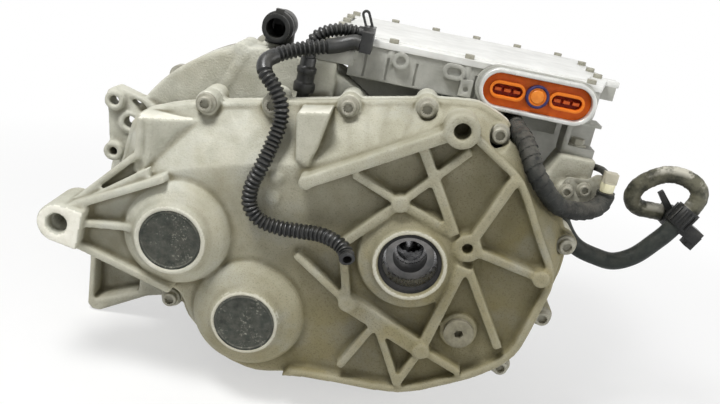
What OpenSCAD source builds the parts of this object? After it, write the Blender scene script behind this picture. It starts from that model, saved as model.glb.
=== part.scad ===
// Electric drive unit: motor, two-stage reduction gear with differential, and inverter in one assembly.
// Millimetres, +Z up, +Y from the gear cover towards the motor. The origin is on the output axis,
// on the front face of the output ring. Outlines are drawn in the front view, as [x, z] pairs.

/* [Gear train] */
// Module of the motor pinion and the layshaft wheel
first_module = 2; // [1.9:0.05:2.1]
// Teeth of the motor pinion
pinion_teeth = 26; // [25:1:27]
// Teeth of the layshaft wheel
wheel_teeth = 78; // [77:1:79]
// Module of the layshaft pinion and the ring gear
second_module = 3; // [2.9:0.05:3]
// Teeth of the layshaft pinion
lay_pinion_teeth = 33; // [32:1:34]
// Teeth of the ring gear on the differential
ring_teeth = 78; // [77:1:79]
// Direction of the layshaft as seen from the output axis, degrees
lay_direction = 213; // [211:0.5:215]
// Direction of the motor axis as seen from the layshaft, degrees
motor_direction = 139; // [136:0.5:142]
// Face width of the first pair
first_width = 28; // [20:1:30]
// Face width of the second pair
second_width = 32; // [24:1:33]
// Thinning of each tooth flank, which gives the backlash
flank_play = 0.15; // [0.1:0.01:0.25]

/* [Differential] */
// Module of the bevel gears
bevel_module = 4; // [3.8:0.1:4]
// Teeth of a side gear
side_teeth = 14; // [14:2:14]
// Teeth of a spider gear
spider_teeth = 10; // [10:2:10]
// Face width of the bevel gears
bevel_width = 11; // [8:1:12]
// Radius of the cross pin
cross_pin_r = 8; // [6:0.5:9]
// Outer radius of the differential case
diff_case_r = 50; // [47:1:54]
// Radius of the half-shaft bore in a side gear
half_shaft_r = 13; // [11:0.5:14]

/* [Bearings and seals] */
// Width of every ball bearing
bearing_w = 15; // [12:1:16]
// Bore radius of the motor shaft and layshaft bearings
shaft_bearing_bore = 12.5; // [11:0.5:13]
// Outer radius of the motor shaft and layshaft bearings
shaft_bearing_r = 26; // [24:0.5:26]
// Bore radius of the differential bearings
diff_bearing_bore = 22.5; // [21:0.5:24]
// Outer radius of the differential bearings
diff_bearing_r = 36; // [34:0.5:37]
// Outer radius of the output seals
seal_r = 28.8; // [28:0.2:30]
// Radius of the hole in the output seals
seal_hole_r = 25; // [23:0.5:26]
// Radial clearance of a running fit
run_fit = 0.05; // [0.02:0.01:0.09]

/* [Gear cover] */
// Depth of the parting face behind the output ring's face
parting = 70; // [68:1:74]
// Depth of the cover's outer floor
floor_y = 22; // [20:1:24]
// Depth of the faces of the ribs
rib_y = 8; // [6:1:12]
// Wall of the castings
wall = 6; // [5:0.5:7]
// Thickness of the bolted flanges
flange_t = 11; // [9:1:13]
// Width of the cover's main ribs
rib_w = 8; // [6:0.5:10]
// Outer radius of the output ring
output_ring_r = 34.6; // [33:0.2:37]
// Radius of the black bearing caps
cap_r = 28.5; // [27.5:0.5:29.5]
// Thickness of the sealing bead between cover and housing
gasket_t = 0.6; // [0.3:0.1:1]
// Radius of the left lug's through hole
lug_hole_r = 8; // [6:0.5:9]
// Radius of the upper threaded hole
lift_hole_r = 7.5; // [6:0.5:8.5]

/* [Fasteners] */
// Thread radius of the flange bolts
bolt_r = 4; // [3:0.5:4.5]
// Radius of the bolt bosses on the flanges
bolt_boss_r = 11; // [10:0.5:12]
// Length of a flange bolt's shank
bolt_len = 38; // [32:1:42]

/* [Motor] */
// Radius of the rotor
rotor_r = 64; // [60:1:68]
// Air gap between rotor and stator
air_gap = 0.8; // [0.5:0.1:1.2]
// Depth of the stator from its bore to its outside
stator_depth = 35.2; // [33:0.2:38]
// Wall of the motor housing with its ribs
jacket_t = 12; // [11:0.5:14]
// Depth of the joint between gear housing and motor housing
motor_y = 160; // [158:1:164]
// Length of the motor housing
motor_len = 180; // [174:2:190]

/* [Inverter] */
// Depth of the inverter's front face
inverter_y = 102; // [100:1:106]
// Length of the inverter along the motor
inverter_len = 216; // [205:1:225]
// Room between the bell and the inverter above it
inverter_room = 4; // [3:0.5:8]
// Height of the inverter case above its underside
inverter_h = 32; // [28:1:36]
// Thickness of the inverter's lid
lid_t = 6; // [4:0.5:8]
// Wall of the inverter case
case_wall = 5; // [4:0.5:6]

/* [Hidden] */
$fn = 48;

// Small lengths shared by several pieces: overlap of cuts, gap between pieces, corner share of outlines
cut = 1;
gap = 0.3;
corner_share = 0.28;
pressure = 20;

// Axes of the three shafts
function polar(r, a) = [r * cos(a), r * sin(a)];
output_axis = [0, 0];
first_distance = first_module * (pinion_teeth + wheel_teeth) / 2;
second_distance = second_module * (lay_pinion_teeth + ring_teeth) / 2;
lay_axis = polar(second_distance, lay_direction);
motor_axis = lay_axis + polar(first_distance, motor_direction);

// Radii of the motor from the inside out, the bell around it, and the room for the windings at both ends
stator_r = rotor_r + air_gap + stator_depth;
motor_r = stator_r + jacket_t;
bell_room = 38;
bell_r = motor_r + bell_room;
bell_centre = [-160, 0];
winding_len = 20;
end_room = 35;
stack_len = motor_len - 2 * end_room;
ring_count = 5;
ring_edge = 22;
ring_w = 8;

// Depths of the gears and of the chamber walls, one after the other from the cover to the motor
gap_gear = 2;
housing_y = parting + gasket_t;
second_y = parting - 12;
chamber_y = second_y + second_width + gap_gear;
partition_t = 6;
first_y = chamber_y + partition_t;
back_wall_y = first_y + first_width + gap_gear;
back_wall_t = 8;
seat_lip = 3;
diff_y = second_y + 24;
diff_half = 42;
hub_len = bearing_w + 5;
cap_t = 4;
cap_upper_y = -3;
cap_lower_y = -1.5;
front_bearing_y = 12;
rear_bearing_y = back_wall_y + seat_lip;
diff_front_y = diff_y - diff_half - bearing_w - 1;
diff_rear_y = diff_y + diff_half + 1;
seal_t = 10;
mouth_r = seal_r + 0.8;
mouth_d = 4;
rear_seal_y = motor_y + flange_t - mouth_d - seal_t;
end_y = motor_y + motor_len;
end_cover_t = 12;
end_bearing_y = end_y - 4;
stack_y = motor_y + end_room - 5;
ground_z = -182;

// Outline of the cover's front and of its bolted flange: the same corners, counter-clockwise
function shifted(list, by) = [for (p = list) p + by];
cover_edge = concat(
    [[134, 2], [130, 22], [114, 46], [83, 98], [52, 117], [22, 136], [-20, 114], [-62, 90], [-108, 68]],
    shifted([[48, 77], [-13, 58], [-40, 45], [-54, 12], [-50, -22], [-22, -49]], motor_axis),
    shifted([[-68, 7], [-54, -21], [-20, -54], [15, -63]], lay_axis),
    [[-80, -143], [20, -141], [82, -108], [107, -88], [121, -68]]);
flange_edge = concat(
    [[146, 6], [143, 34], [126, 68], [96, 106], [62, 133], [34, 144], [0, 140], [-62, 127], [-130, 112]],
    shifted([[19, 119], [-22, 109], [-62, 93], [-70, 43], [-68, -12], [-40, -58]], motor_axis),
    shifted([[-78, -5], [-66, -37], [-30, -67], [15, -75]], lay_axis),
    [[-80, -156], [22, -152], [90, -120], [116, -98], [132, -70]]);
flange_lip = 3;

// Flange bolts on the parting face, and the two dowels between them
bolt_places = [[-83, 121], [-13, 134], [56, 124], [143, 33], [140, -44], [114, -106], [30, -146], [-60, -148],
    motor_axis + [5, 120], motor_axis + [66, 131], lay_axis + [-84, -16]];
dowel_places = [[-45, 128], [128, -78]];
dowel_r = 4;
bolt_seat_y = parting - 20;
harness_notch = [75.5, 127];
notch_play = 1.2;

// Front of the bell of the gear housing around the motor's front end
bell_y = first_y + 8;

// Plan of the inverter, as [x, y] pairs from its front face
lid_plan = [[-100, 0], [148, 0], [166, 60], [168, inverter_len], [-118, inverter_len], [-118, 44]];
case_left = -96;
deep_x = 20;
deep_y = 74;
deep_drop = 90;
bell_rise = sqrt(pow(bell_r, 2) - pow(case_left - bell_centre[0], 2));
inverter_z = ceil(bell_rise) + inverter_room;
inverter_top = inverter_z + inverter_h;
shelf_z = inverter_z - deep_drop;
shelf_t = 10;
tray_left = -62;
tray_back = 22;
tray_drop = 20;
left_bolt = [-117, 11];
right_bolt = [142, 11];
column_z = inverter_z + 10;
pad_z = inverter_z - 32;

// High-voltage socket on the inverter's front
hv_centre = [88, inverter_z + 18];
hv_w = 112;
hv_h = 40;
hv_out = 15;
hv_rim = 4;
hv_floor = 4;
socket_room = 1;
slot_pitch = 57;
slot_w = 29;
slot_h = 11;
lock_r = 11;

// Coolant elbow and breather on top of the housing
coolant_x = -169;
coolant_y = 138;
coolant_z = bell_r + 20;
coolant_bore = 9.5;
coolant_front = 104;
breather_x = -131;
breather_y = 88;
breather_z = 152;

// Cords: route points by hand, radius, and number of sides
hose_r = 7.2;
link_r = 6.4;
harness_r = 9.2;
lead_r = 9;
cord_sides = 10;
joint_x = -85;
link_end = [joint_x - gap, 95, 183];
hose_start = [joint_x - gap, 83.5, 174.5];
link_route = [[breather_x, breather_y, breather_z], [-131, 88, 162], [-127, 89, 172], [-116, 92, 179.5],
    [-102, 95, 183], [-94, 95, 183], link_end];
hose_route = [hose_start, [-92, 83.5, 174.5], [-106, 80, 169], [-122, 74, 165], [-139, 68, 160], [-154, 60, 154],
    [-164, 50, 147], [-162, 41, 138], [-151, 35, 128], [-142, 31, 114], [-140, 28, 98], [-143, 22, 80],
    [-148, 13.5, 60], [-154, 12, 40], [-153, 12, 22], [-142, 12, 10], [-124, 12, 6], [-105, 10, 7.5],
    [-86, 5, 10.5], [-73, -1, 10.5], [-63, -6, 7.5], [-58, -12, 4], [-56, -19, 2]];
plug_base = [171, 71, 86];
harness_route = [[75.5, inverter_y + tray_back - gap, 127], [75.5, 108, 127], [75.5, 88, 127], [75.5, 62, 127],
    [77, 48, 126.5], [80.5, 37, 122], [85, 27, 113.5], [91, 21, 103], [102, 22, 91], [113, 31, 80], [125, 41, 71],
    [137, 48, 68], [149, 55, 67], [160, 61, 69], [168, 67, 74], [171, 71, 80], plug_base];
sensor_r = 3.5;
sensor_route = [[168, plug_base[1] + 5 + gap, 101.5], [168, 84, 101.5], [168, 93, 101], [167.5, 101, 100],
    [165.5, 105.5, 99.5], [163, 107, 99.5], [160 + gap, 107, 99.5]];
lead_route = [[138, 166, 64], [138, 158, 64], [142, 146, 54], [150, 132, 37], [161, 122, 20], [175, 120, 9],
    [194, 119, 4], [214, 118, 3], [233, 117, 14], [248, 115, 34], [258, 114, 50], [274, 114, 82], [272, 116, 97],
    [258, 121, 104], [242, 125, 103], [229, 130, 94], [220, 134, 82], [219, 137, 69], [228, 139, 60],
    [243, 140, 59], [254, 140, 59]];

// Shape helpers
function unit(v) = v / norm(v);
function lerp(a, b, t) = a + (b - a) * t;
function bend(a, c, b, t) = lerp(lerp(a, c, t), lerp(c, b, t), t);
function softened(p, share) = [for (i = [0:len(p) - 1])
    let (n = len(p), a = lerp(p[i], p[(i + n - 1) % n], share), b = lerp(p[i], p[(i + 1) % n], share))
    for (t = [0:0.5:1]) bend(a, p[i], b, t)];
function left_of(v) = [-v[1], v[0]];
function corner_inset(before, at, after, d) =
    let (u = left_of(unit(at - before)), v = left_of(unit(after - at))) at + d * (u + v) / (1 + u * v);
function inset(p, d) = [for (i = [0:len(p) - 1])
    let (n = len(p)) corner_inset(p[(i + n - 1) % n], p[i], p[(i + 1) % n], d)];
function outline(p, d) = softened(inset(p, d), corner_share);

// A front-view shape standing between two depths
module slab(y_front, y_back) {
    translate([0, y_back, 0])
        rotate([90, 0, 0])
            linear_extrude(y_back - y_front) children();
}

// A cylinder along Y around a front-view point
module rod(at, r, y_front, y_back) {
    translate([at[0], y_front, at[1]])
        rotate([-90, 0, 0])
            cylinder(r = r, h = y_back - y_front);
}

// A cone along Y around a front-view point
module taper(at, r_front, r_back, y_front, y_back) {
    translate([at[0], y_front, at[1]])
        rotate([-90, 0, 0])
            cylinder(r1 = r_front, r2 = r_back, h = y_back - y_front);
}

// A turned piece around an axis along Y, from [radius, depth] points
module turned(at, profile) {
    translate([at[0], 0, at[1]])
        rotate([-90, 0, 0])
            rotate_extrude() polygon(profile);
}

// A straight rib in the front view
module rib(from, to, w) {
    translate(from)
        rotate(atan2(to[1] - from[1], to[0] - from[0]))
            translate([0, -w / 2]) square([norm(to - from), w]);
}

// A disc in the front view
module disc(at, r) {
    translate(at) circle(r);
}

// A slot with round ends in the front view
module stadium(at, w, h) {
    translate(at) {
        square([w - h, h], center = true);
        translate([(h - w) / 2, 0]) circle(h / 2);
        translate([(w - h) / 2, 0]) circle(h / 2);
    }
}

// The same slot standing upright
module stadium_up(at, w, h) {
    translate(at) rotate(90) stadium([0, 0], h, w);
}

// Solid between two outlines with the same number of points
module loft(front, back, y_front, y_back) {
    n = len(front);
    polyhedron(
        points = concat([for (p = front) [p[0], y_front, p[1]]], [for (p = back) [p[0], y_back, p[1]]]),
        faces = concat([[for (i = [n - 1:-1:0]) i]], [[for (i = [0:n - 1]) n + i]],
            [for (i = [0:n - 1]) [i, (i + 1) % n, n + (i + 1) % n]],
            [for (i = [0:n - 1]) [i, n + (i + 1) % n, n + i]]));
}

// Tube along route points, one ring at each point
function heading(p, i) = unit(p[min(i + 1, len(p) - 1)] - p[max(i - 1, 0)]);
function carried(p, i, side) = i == len(p) ? [] :
    let (t = heading(p, i), s = unit(side - (side * t) * t)) concat([s], carried(p, i + 1, s));
module tube(route, r) {
    n = cord_sides;
    last = len(route) - 1;
    sides = carried(route, 0, unit([0.3, 0.9, 0.2]));
    rings = [for (i = [0:last]) let (t = heading(route, i), u = sides[i], v = cross(t, u))
        for (k = [0:n - 1]) route[i] + r * (cos(360 * k / n) * u + sin(360 * k / n) * v)];
    polyhedron(points = rings, faces = concat(
        [[for (k = [0:n - 1]) k]], [[for (k = [n - 1:-1:0]) last * n + k]],
        [for (i = [0:last - 1]) for (k = [0:n - 1]) [i * n + k, (i + 1) * n + k, (i + 1) * n + (k + 1) % n]],
        [for (i = [0:last - 1]) for (k = [0:n - 1]) [i * n + k, (i + 1) * n + (k + 1) % n, i * n + (k + 1) % n]]));
}

// Involute teeth: half the angle of a tooth at radius r, and the whole outline
function involute(r, base) = r <= base ? 0 : sqrt(pow(r / base, 2) - 1) * 180 / PI - acos(base / r);
function half_tooth(r, teeth, m) =
    let (pitch = m * teeth / 2, base = pitch * cos(pressure))
    90 / teeth - flank_play / pitch * 180 / PI + involute(pitch, base) - involute(r, base);
addendum = 0.95;
dedendum = 1.25;
ring_tip = second_module * (ring_teeth / 2 + addendum);
function gear_outline(teeth, m, turn) =
    let (pitch = m * teeth / 2, root = pitch - dedendum * m, tip = pitch + addendum * m)
    [for (k = [0:teeth - 1]) let (c = turn + 360 * k / teeth)
        for (s = [[root, -1], [pitch, -1], [tip, -1], [tip, 1], [pitch, 1], [root, 1]])
            polar(s[0], c + s[1] * half_tooth(s[0], teeth, m))];
bore_sides = 36;
module toothed(at, teeth, m, turn, bore, y_front, y_back) {
    slab(y_front, y_back)
        translate(at)
            difference() {
                polygon(gear_outline(teeth, m, turn));
                polygon([for (k = [0:bore_sides - 1]) polar(bore / cos(180 / bore_sides), 360 * k / bore_sides)]);
            }
}

// Bevel gear with its cone's point at the origin and its axis along +Z; a tooth stands over angle turn
module bevel(teeth, mate, turn, hub_r, hub_z, bore) {
    pitch = bevel_module * teeth / 2;
    cone = atan(teeth / mate);
    reach = bevel_module * mate / 2;
    virtual = teeth / cos(cone);
    small = 1 - bevel_width * sin(cone) / pitch;
    heights = [[-1.35, -1], [0, -1], [0.6, -1], [0.6, 1], [0, 1], [-1.35, 1]];
    big = [for (k = [0:teeth - 1]) for (s = heights)
        let (h = s[0] * bevel_module, r = pitch + h * cos(cone),
            a = turn + 360 * k / teeth
                + s[1] * half_tooth(bevel_module * virtual / 2 + h, virtual, bevel_module) / cos(cone))
        [r * cos(a), r * sin(a), reach - h * sin(cone)]];
    n = len(big);
    back_z = reach + 1.35 * bevel_module * sin(cone);
    difference() {
        union() {
            polyhedron(
                points = concat(big, small * big, [[0, 0, back_z], [0, 0, small * back_z]]),
                faces = concat(
                    [for (i = [0:n - 1]) [2 * n, (i + 1) % n, i]],
                    [for (i = [0:n - 1]) [2 * n + 1, n + i, n + (i + 1) % n]],
                    [for (i = [0:n - 1]) [i, (i + 1) % n, n + (i + 1) % n]],
                    [for (i = [0:n - 1]) [i, n + (i + 1) % n, n + i]]));
            translate([0, 0, back_z - 2]) cylinder(r = hub_r, h = hub_z - back_z + 2);
        }
        translate([0, 0, -cut]) cylinder(r = bore, h = hub_z + 2 * cut);
    }
}

// Sealed ball bearing: the outer ring with its shields, and the inner ring
ring_t = 4;
module bearing_outer(at, y, bore, r) {
    lip = bore + ring_t + run_fit;
    turned(at, [[lip, y], [r, y], [r, y + bearing_w], [lip, y + bearing_w], [lip, y + bearing_w - 1.5],
        [r - ring_t, y + bearing_w - 1.5], [r - ring_t, y + 1.5], [lip, y + 1.5]]);
}
module bearing_inner(at, y, bore) {
    turned(at, [[bore, y], [bore + ring_t, y], [bore + ring_t, y + bearing_w], [bore, y + bearing_w]]);
}

// Flange bolt along Y with its washer face at depth y: a collar, and a round head with a twelve-point socket
module flange_bolt(at, y, r, len) {
    head = 2 * r;
    rod(at, r, y - cut, y + len);
    difference() {
        turned(at, [[0, y - head], [1.6 * r, y - head], [1.8 * r, y - head + 0.8], [1.8 * r, y - 2.4], [2.3 * r, y - 2],
            [2.5 * r, y - 0.01], [0, y - 0.01]]);
        slab(y - head - cut, y - 0.9 * r) for (a = [0, 30, 60]) translate(at) rotate(a) square(1.72 * r, center = true);
    }
}

// Gear cover: a dished casting with bearing bosses, an output ring, ribs, lugs and bolt bosses
cover_bosses = [[-20, 53], [-49, -53], [29, -86], [119, 10]];
hub_hole = [48, 24];
lift_boss = [18, 130];
lug = motor_axis + [-105, -6];
plug_at = [60, -62];
lug_r = 19;
module cover_shell() {
    loft(outline(cover_edge, 0), outline(flange_edge, 0), floor_y, parting - flange_t + cut);
    slab(parting - flange_t, parting) polygon(outline(flange_edge, -flange_lip));
    for (p = bolt_places) rod(p, bolt_boss_r, bolt_seat_y, parting);
}
module cover_rim() {
    rim = inset(cover_edge, 1);
    slab(rib_y + 2, floor_y + 2)
        intersection() {
            difference() {
                polygon(softened(rim, corner_share));
                polygon(softened(inset(rim, rib_w - 1), corner_share));
            }
            polygon([[-120, -175], [160, -175], [160, 160], [0, 160], [0, 0], [-70, -110]]);
        }
}
module cover_ribs() {
    slab(1, floor_y + 2) {
        rib([-106, 56], lift_boss, 11);
        disc([-106, 56], 6.5);
    }
    slab(rib_y, floor_y + 2) {
        rib(cover_bosses[0], [-66, 71], 7);
        rib(cover_bosses[0], [-62, 5], rib_w);
        rib(cover_bosses[0], [30, 36], rib_w);
        rib(cover_bosses[0], [30, 112], 7);
        rib([-14, 112], [34, 34], rib_w + 1);
        rib(hub_hole, [74, 96], rib_w + 1);
        rib(hub_hole, cover_bosses[3], rib_w);
        rib([54, 4], [99, -68], rib_w);
        rib([48, 6], cover_bosses[2], rib_w + 2);
        rib(cover_bosses[1], cover_bosses[2], 17);
        rib(cover_bosses[1], [-104, -16], 7);
        rib(cover_bosses[1], [-64, 6], rib_w);
        rib([-18, -68], [-44, -122], 7);
        rib([-18, -68], [14, -128], 7);
        rib(cover_bosses[2], [14, -128], 7);
        rib(cover_bosses[2], [70, -102], 7);
        disc(hub_hole, 13);
    }
    for (p = cover_bosses) rod(p, 8, rib_y - 3, floor_y + 2);
    rod(lift_boss, 15.5, -2, floor_y + 8);
    rod(plug_at, 18, floor_y - 6, floor_y + 2);
    rod([-135, 30], 5.5, floor_y - 1.5, floor_y + 2);
    rod([-134, 50], 5, floor_y - 3, floor_y + 2);
}
module cover_arm() {
    foot = motor_axis + [-52, 0];
    rod(lug, lug_r, -4, parting - 20);
    slab(-4, parting - 20) translate(lug) polygon([[0, -lug_r], [20, -lug_r - 4], [24, 16], [8, lug_r]]);
    slab(4, floor_y + 16) {
        rib(lug + [8, 15], motor_axis + [-14, 54], 7);
        rib(lug + [10, 0], motor_axis + [-30, 2], 6.5);
        rib(lug + [10, -19], motor_axis + [4, -54], 7);
    }
    slab(floor_y - 8, floor_y) polygon([lug + [0, 10], motor_axis + [-30, 60], foot + [20, -40], lug + [0, -16]]);
    slab(floor_y + 8, floor_y + 16)
        polygon([lug + [2, 16], motor_axis + [-47, 70], motor_axis + [-30, 40], foot, lug + [6, 0]]);
    slab(floor_y - 2, parting) {
        rib(lug + [6, 15], motor_axis + [-44, 68], 6);
        rib(motor_axis + [-45, 64], motor_axis + [-46, 102], 6);
    }
}
module cover_posts() {
    translate([motor_axis[0], 0, motor_axis[1] + 48])
        linear_extrude(54)
            polygon([[-52, parting - 8], [-52, floor_y + 10], [-47, floor_y + 3], [-38, floor_y + 2], [-33, floor_y + 6],
                [14, parting - 8]]);
    slab(floor_y - 3, parting - 2) polygon([[-126, 113], [-120, 70], [-108, 66], [-102, 84], [-96, 119]]);
}
module cover_bearing_bosses() {
    turned(motor_axis, [[0, -4], [33, -4], [34, 0], [37, 4], [46, 10], [50, 16], [53, floor_y + 8], [0, floor_y + 8]]);
    turned(lay_axis, [[0, -2], [31, -2], [33, 3], [36, 6], [48, 12], [53, 17], [56, floor_y + 8], [0, floor_y + 8]]);
    turned(output_axis, [[0, 0], [output_ring_r, 0], [output_ring_r, 6], [output_ring_r + 3, 9],
        [output_ring_r + 13, 13], [output_ring_r + 16, floor_y], [output_ring_r + 16, floor_y + 4], [0, floor_y + 4]]);
    rod(output_axis, diff_bearing_r + wall, floor_y, diff_front_y + bearing_w);
    rod(motor_axis, shaft_bearing_r + wall, floor_y, front_bearing_y + bearing_w + 6);
    rod(lay_axis, shaft_bearing_r + wall, floor_y, front_bearing_y + bearing_w + 6);
}
module cap_seat(at, y) {
    rod(at, cap_r + run_fit, y - 10, y + cap_t);
    rod(at, shaft_bearing_r - 3, y, front_bearing_y);
    rod(at, shaft_bearing_r + 0.01, front_bearing_y, parting + cut);
}
module gear_cover() {
    color([0.66, 0.64, 0.58])
        difference() {
            union() {
                difference() {
                    union() {
                        cover_shell();
                        cover_arm();
                        cover_posts();
                    }
                    loft(outline(inset(cover_edge, wall + 1), 0), outline(inset(flange_edge, wall + 1), 0),
                        floor_y + wall, parting + cut);
                }
                cover_rim();
                cover_ribs();
                cover_bearing_bosses();
            }
            rod(output_axis, mouth_r, -cut, mouth_d);
            rod(output_axis, seal_r + run_fit, 0, diff_front_y - seat_lip);
            rod(output_axis, diff_bearing_r - 5, diff_front_y - seat_lip, diff_front_y + cut);
            rod(output_axis, diff_bearing_r + 0.01, diff_front_y, parting + cut);
            rod(output_axis, ring_tip + gap_gear, second_y - gap_gear, parting + cut);
            cap_seat(motor_axis, cap_upper_y);
            cap_seat(lay_axis, cap_lower_y);
            for (p = bolt_places) rod(p, bolt_r + gap, bolt_seat_y - cut, parting + cut);
            for (p = bolt_places) rod(p, 2.6 * bolt_r, bolt_seat_y - 30, bolt_seat_y);
            for (p = dowel_places) rod(p, dowel_r + 0.01, parting - 8, parting + cut);
            rod(lug, lug_hole_r, -6, parting);
            rod(lug, lug_hole_r + 1.5, -6, 8);
            rod(lift_boss, lift_hole_r, -4, floor_y + 4);
            rod(hub_hole, 5, 0, floor_y + 2);
            rod(plug_at, 9 + gap, floor_y - 10, floor_y + wall + 2);
            rod(harness_notch, harness_r + notch_play, bolt_seat_y - 6, parting + cut);
        }
}

// Bead of sealant between the cover and the housing
module cover_gasket() {
    color([0.2, 0.2, 0.22])
        slab(parting, housing_y)
            difference() {
                union() {
                    polygon(outline(flange_edge, 0));
                    for (p = bolt_places) disc(p, bolt_boss_r - 1);
                }
                difference() {
                    polygon(outline(flange_edge, wall + 1));
                    for (p = bolt_places) disc(p, bolt_boss_r - 1);
                }
                for (p = bolt_places) disc(p, bolt_r + gap);
                for (p = dowel_places) disc(p, dowel_r + gap);
                disc(harness_notch, harness_r + notch_play);
            }
}

// Gear housing: the rear half of the gearbox with the bell that carries the motor
module chamber_plan(extra) {
    disc(output_axis, ring_bore + ring_seat_w + 9 + extra);
    disc(lay_axis, first_module * (wheel_teeth / 2 + 1) + gap_gear + extra);
    disc(motor_axis, first_module * (pinion_teeth / 2 + 1) + 8 + extra);
}
module bell_plan(d) {
    disc(bell_centre, bell_r - d);
    disc(motor_axis, motor_r - d);
}
module housing_lugs() {
    slab(bell_y - 6, bell_y + 10)
        difference() {
            polygon([[-326, 78], [-316, 84], [-286, 76], [-250, 60], [-262, 10], [-308, 6], [-318, 16]]);
            polygon([[-304, 76], [-288, 71], [-276, 58], [-292, 62]]);
            polygon([[-298, 38], [-280, 38], [-284, 16], [-298, 16]]);
        }
    rod([-316, 70], 10, bell_y - 12, bell_y + 10);
    rod([-299, 50], 11, bell_y - 9, bell_y + 10);
    rod([-312, 18], 10, bell_y - 14, bell_y + 14);
    slab(bell_y + 16, bell_y + 46)
        polygon([[-338, -106], [-336, ground_z + 6], [-330, ground_z], [-322, ground_z], [-270, ground_z + 30],
            [-236, ground_z + 40], [-200, -120], [-260, -90], [-300, -96]]);
    slab(bell_y - 8, bell_y + 30) polygon([[-10, -70], [30, -70], [30, ground_z], [-10, ground_z]]);
    slab(chamber_y, inverter_y + 26) polygon([[100, 50], [116, 40], [160, 78], [160, pad_z], [126, pad_z]]);
    for (p = bracket_places) rod(p, bolt_boss_r - 3, bracket_y, inverter_y);
    slab(inverter_y - 2, inverter_y + 22) polygon([[-132, 90], [-102, 90], [-105, column_z], [-129, column_z]]);
    translate([breather_x, breather_y, 100]) cylinder(r = 12, h = 19);
    translate([coolant_x, coolant_y, bell_r - 8]) cylinder(r = 16, h = 10);
}
module gear_housing() {
    color([0.64, 0.62, 0.57])
        difference() {
            union() {
                difference() {
                    union() {
                        slab(housing_y, housing_y + flange_t) polygon(outline(flange_edge, -flange_lip));
                        slab(housing_y, first_y) polygon(outline(flange_edge, 1));
                        slab(bell_y, motor_y) disc(bell_centre, bell_r);
                        slab(motor_y - 20, motor_y) disc(motor_axis, motor_r);
                    }
                    slab(bell_y + wall, motor_y + cut) disc(bell_centre, bell_r - wall);
                    slab(motor_y - 20 + wall, motor_y + cut) disc(motor_axis, motor_r - wall);
                    slab(housing_y - cut, chamber_y) polygon(outline(flange_edge, wall + 1));
                }
                slab(chamber_y, back_wall_y + back_wall_t) chamber_plan(wall);
                housing_lugs();
                rod(output_axis, diff_bearing_r + wall, back_wall_y, motor_y + flange_t);
                rod(motor_axis, shaft_bearing_r + wall, back_wall_y, rear_bearing_y + bearing_w + 2);
                rod(lay_axis, shaft_bearing_r + wall, back_wall_y, rear_bearing_y + bearing_w + 6);
                for (p = bolt_places) rod(p, bolt_boss_r, housing_y, housing_y + 26);
                slab(bell_y - 1, bell_y + wall) {
                    rib([-222, 80], [-196, 142], 7);
                    rib([-150, 90], [-120, 130], 7);
                }
                slab(bell_y, motor_y) disc([-200, 141], 9);
            }
            slab(chamber_y - cut, back_wall_y) chamber_plan(0);
            rod(output_axis, mouth_r, rear_seal_y + seal_t, motor_y + flange_t + cut);
            rod(output_axis, seal_r + run_fit, rear_seal_y - 2, rear_seal_y + seal_t + cut);
            rod(output_axis, diff_bearing_r - 5, diff_rear_y, rear_seal_y);
            rod(output_axis, diff_bearing_r + 0.01, chamber_y, diff_rear_y + bearing_w);
            rod(motor_axis, shaft_bearing_r + 0.01, chamber_y, rear_bearing_y + bearing_w);
            rod(motor_axis, shaft_bearing_bore + ring_t, chamber_y, motor_y);
            rod(lay_axis, shaft_bearing_r + 0.01, chamber_y, rear_bearing_y + bearing_w);
            rod(lay_axis, shaft_bearing_r - 4, chamber_y, rear_bearing_y + bearing_w + 3);
            rod(harness_notch, harness_r + notch_play, housing_y - cut, inverter_y + 40);
            slab(hv_front - socket_room, inverter_y)
                stadium(hv_centre, hv_w + 2 * socket_room, hv_h + 2 * socket_room);
            for (p = bracket_places) rod(p, bolt_r - 1 + run_fit, bracket_y - cut, bracket_y + 22);
            for (p = bolt_places) rod(p, bolt_r + run_fit, housing_y - cut, housing_y + bolt_len - 18);
            for (p = dowel_places) rod(p, dowel_r + 0.01, housing_y - cut, housing_y + 8);
            rod([-316, 70], 5, bell_y - 20, bell_y + 20);
            rod([-299, 50], 6.5, bell_y - 20, bell_y + 20);
            rod([-312, 18], 4.5, bell_y - 20, bell_y + 8);
            slab(bell_y + 10, bell_y + 40)
                polygon([[-331, -114], [-330, ground_z + 12], [-280, ground_z + 34], [-280, -106]]);
            slab(inverter_y - 4, inverter_y + 18) translate([133, pad_z - 18]) square([19, 11]);
            translate([right_bolt[0], inverter_y + right_bolt[1], pad_z - 20]) cylinder(r = bolt_r + run_fit, h = 30);
            translate([left_bolt[0], inverter_y + left_bolt[1], column_z - 24]) cylinder(r = bolt_r + run_fit, h = 40);
            translate([breather_x, breather_y, 80]) cylinder(r = 6 + run_fit, h = 50);
            translate([coolant_x, coolant_y, bell_r - 20]) cylinder(r = coolant_bore + 1.5 + run_fit, h = 40);
            for (a = motor_bolt_angles) rod(bell_centre + polar(bell_r - 4, a), bolt_r + run_fit, motor_y - 12, motor_y + cut);
        }
}

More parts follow.
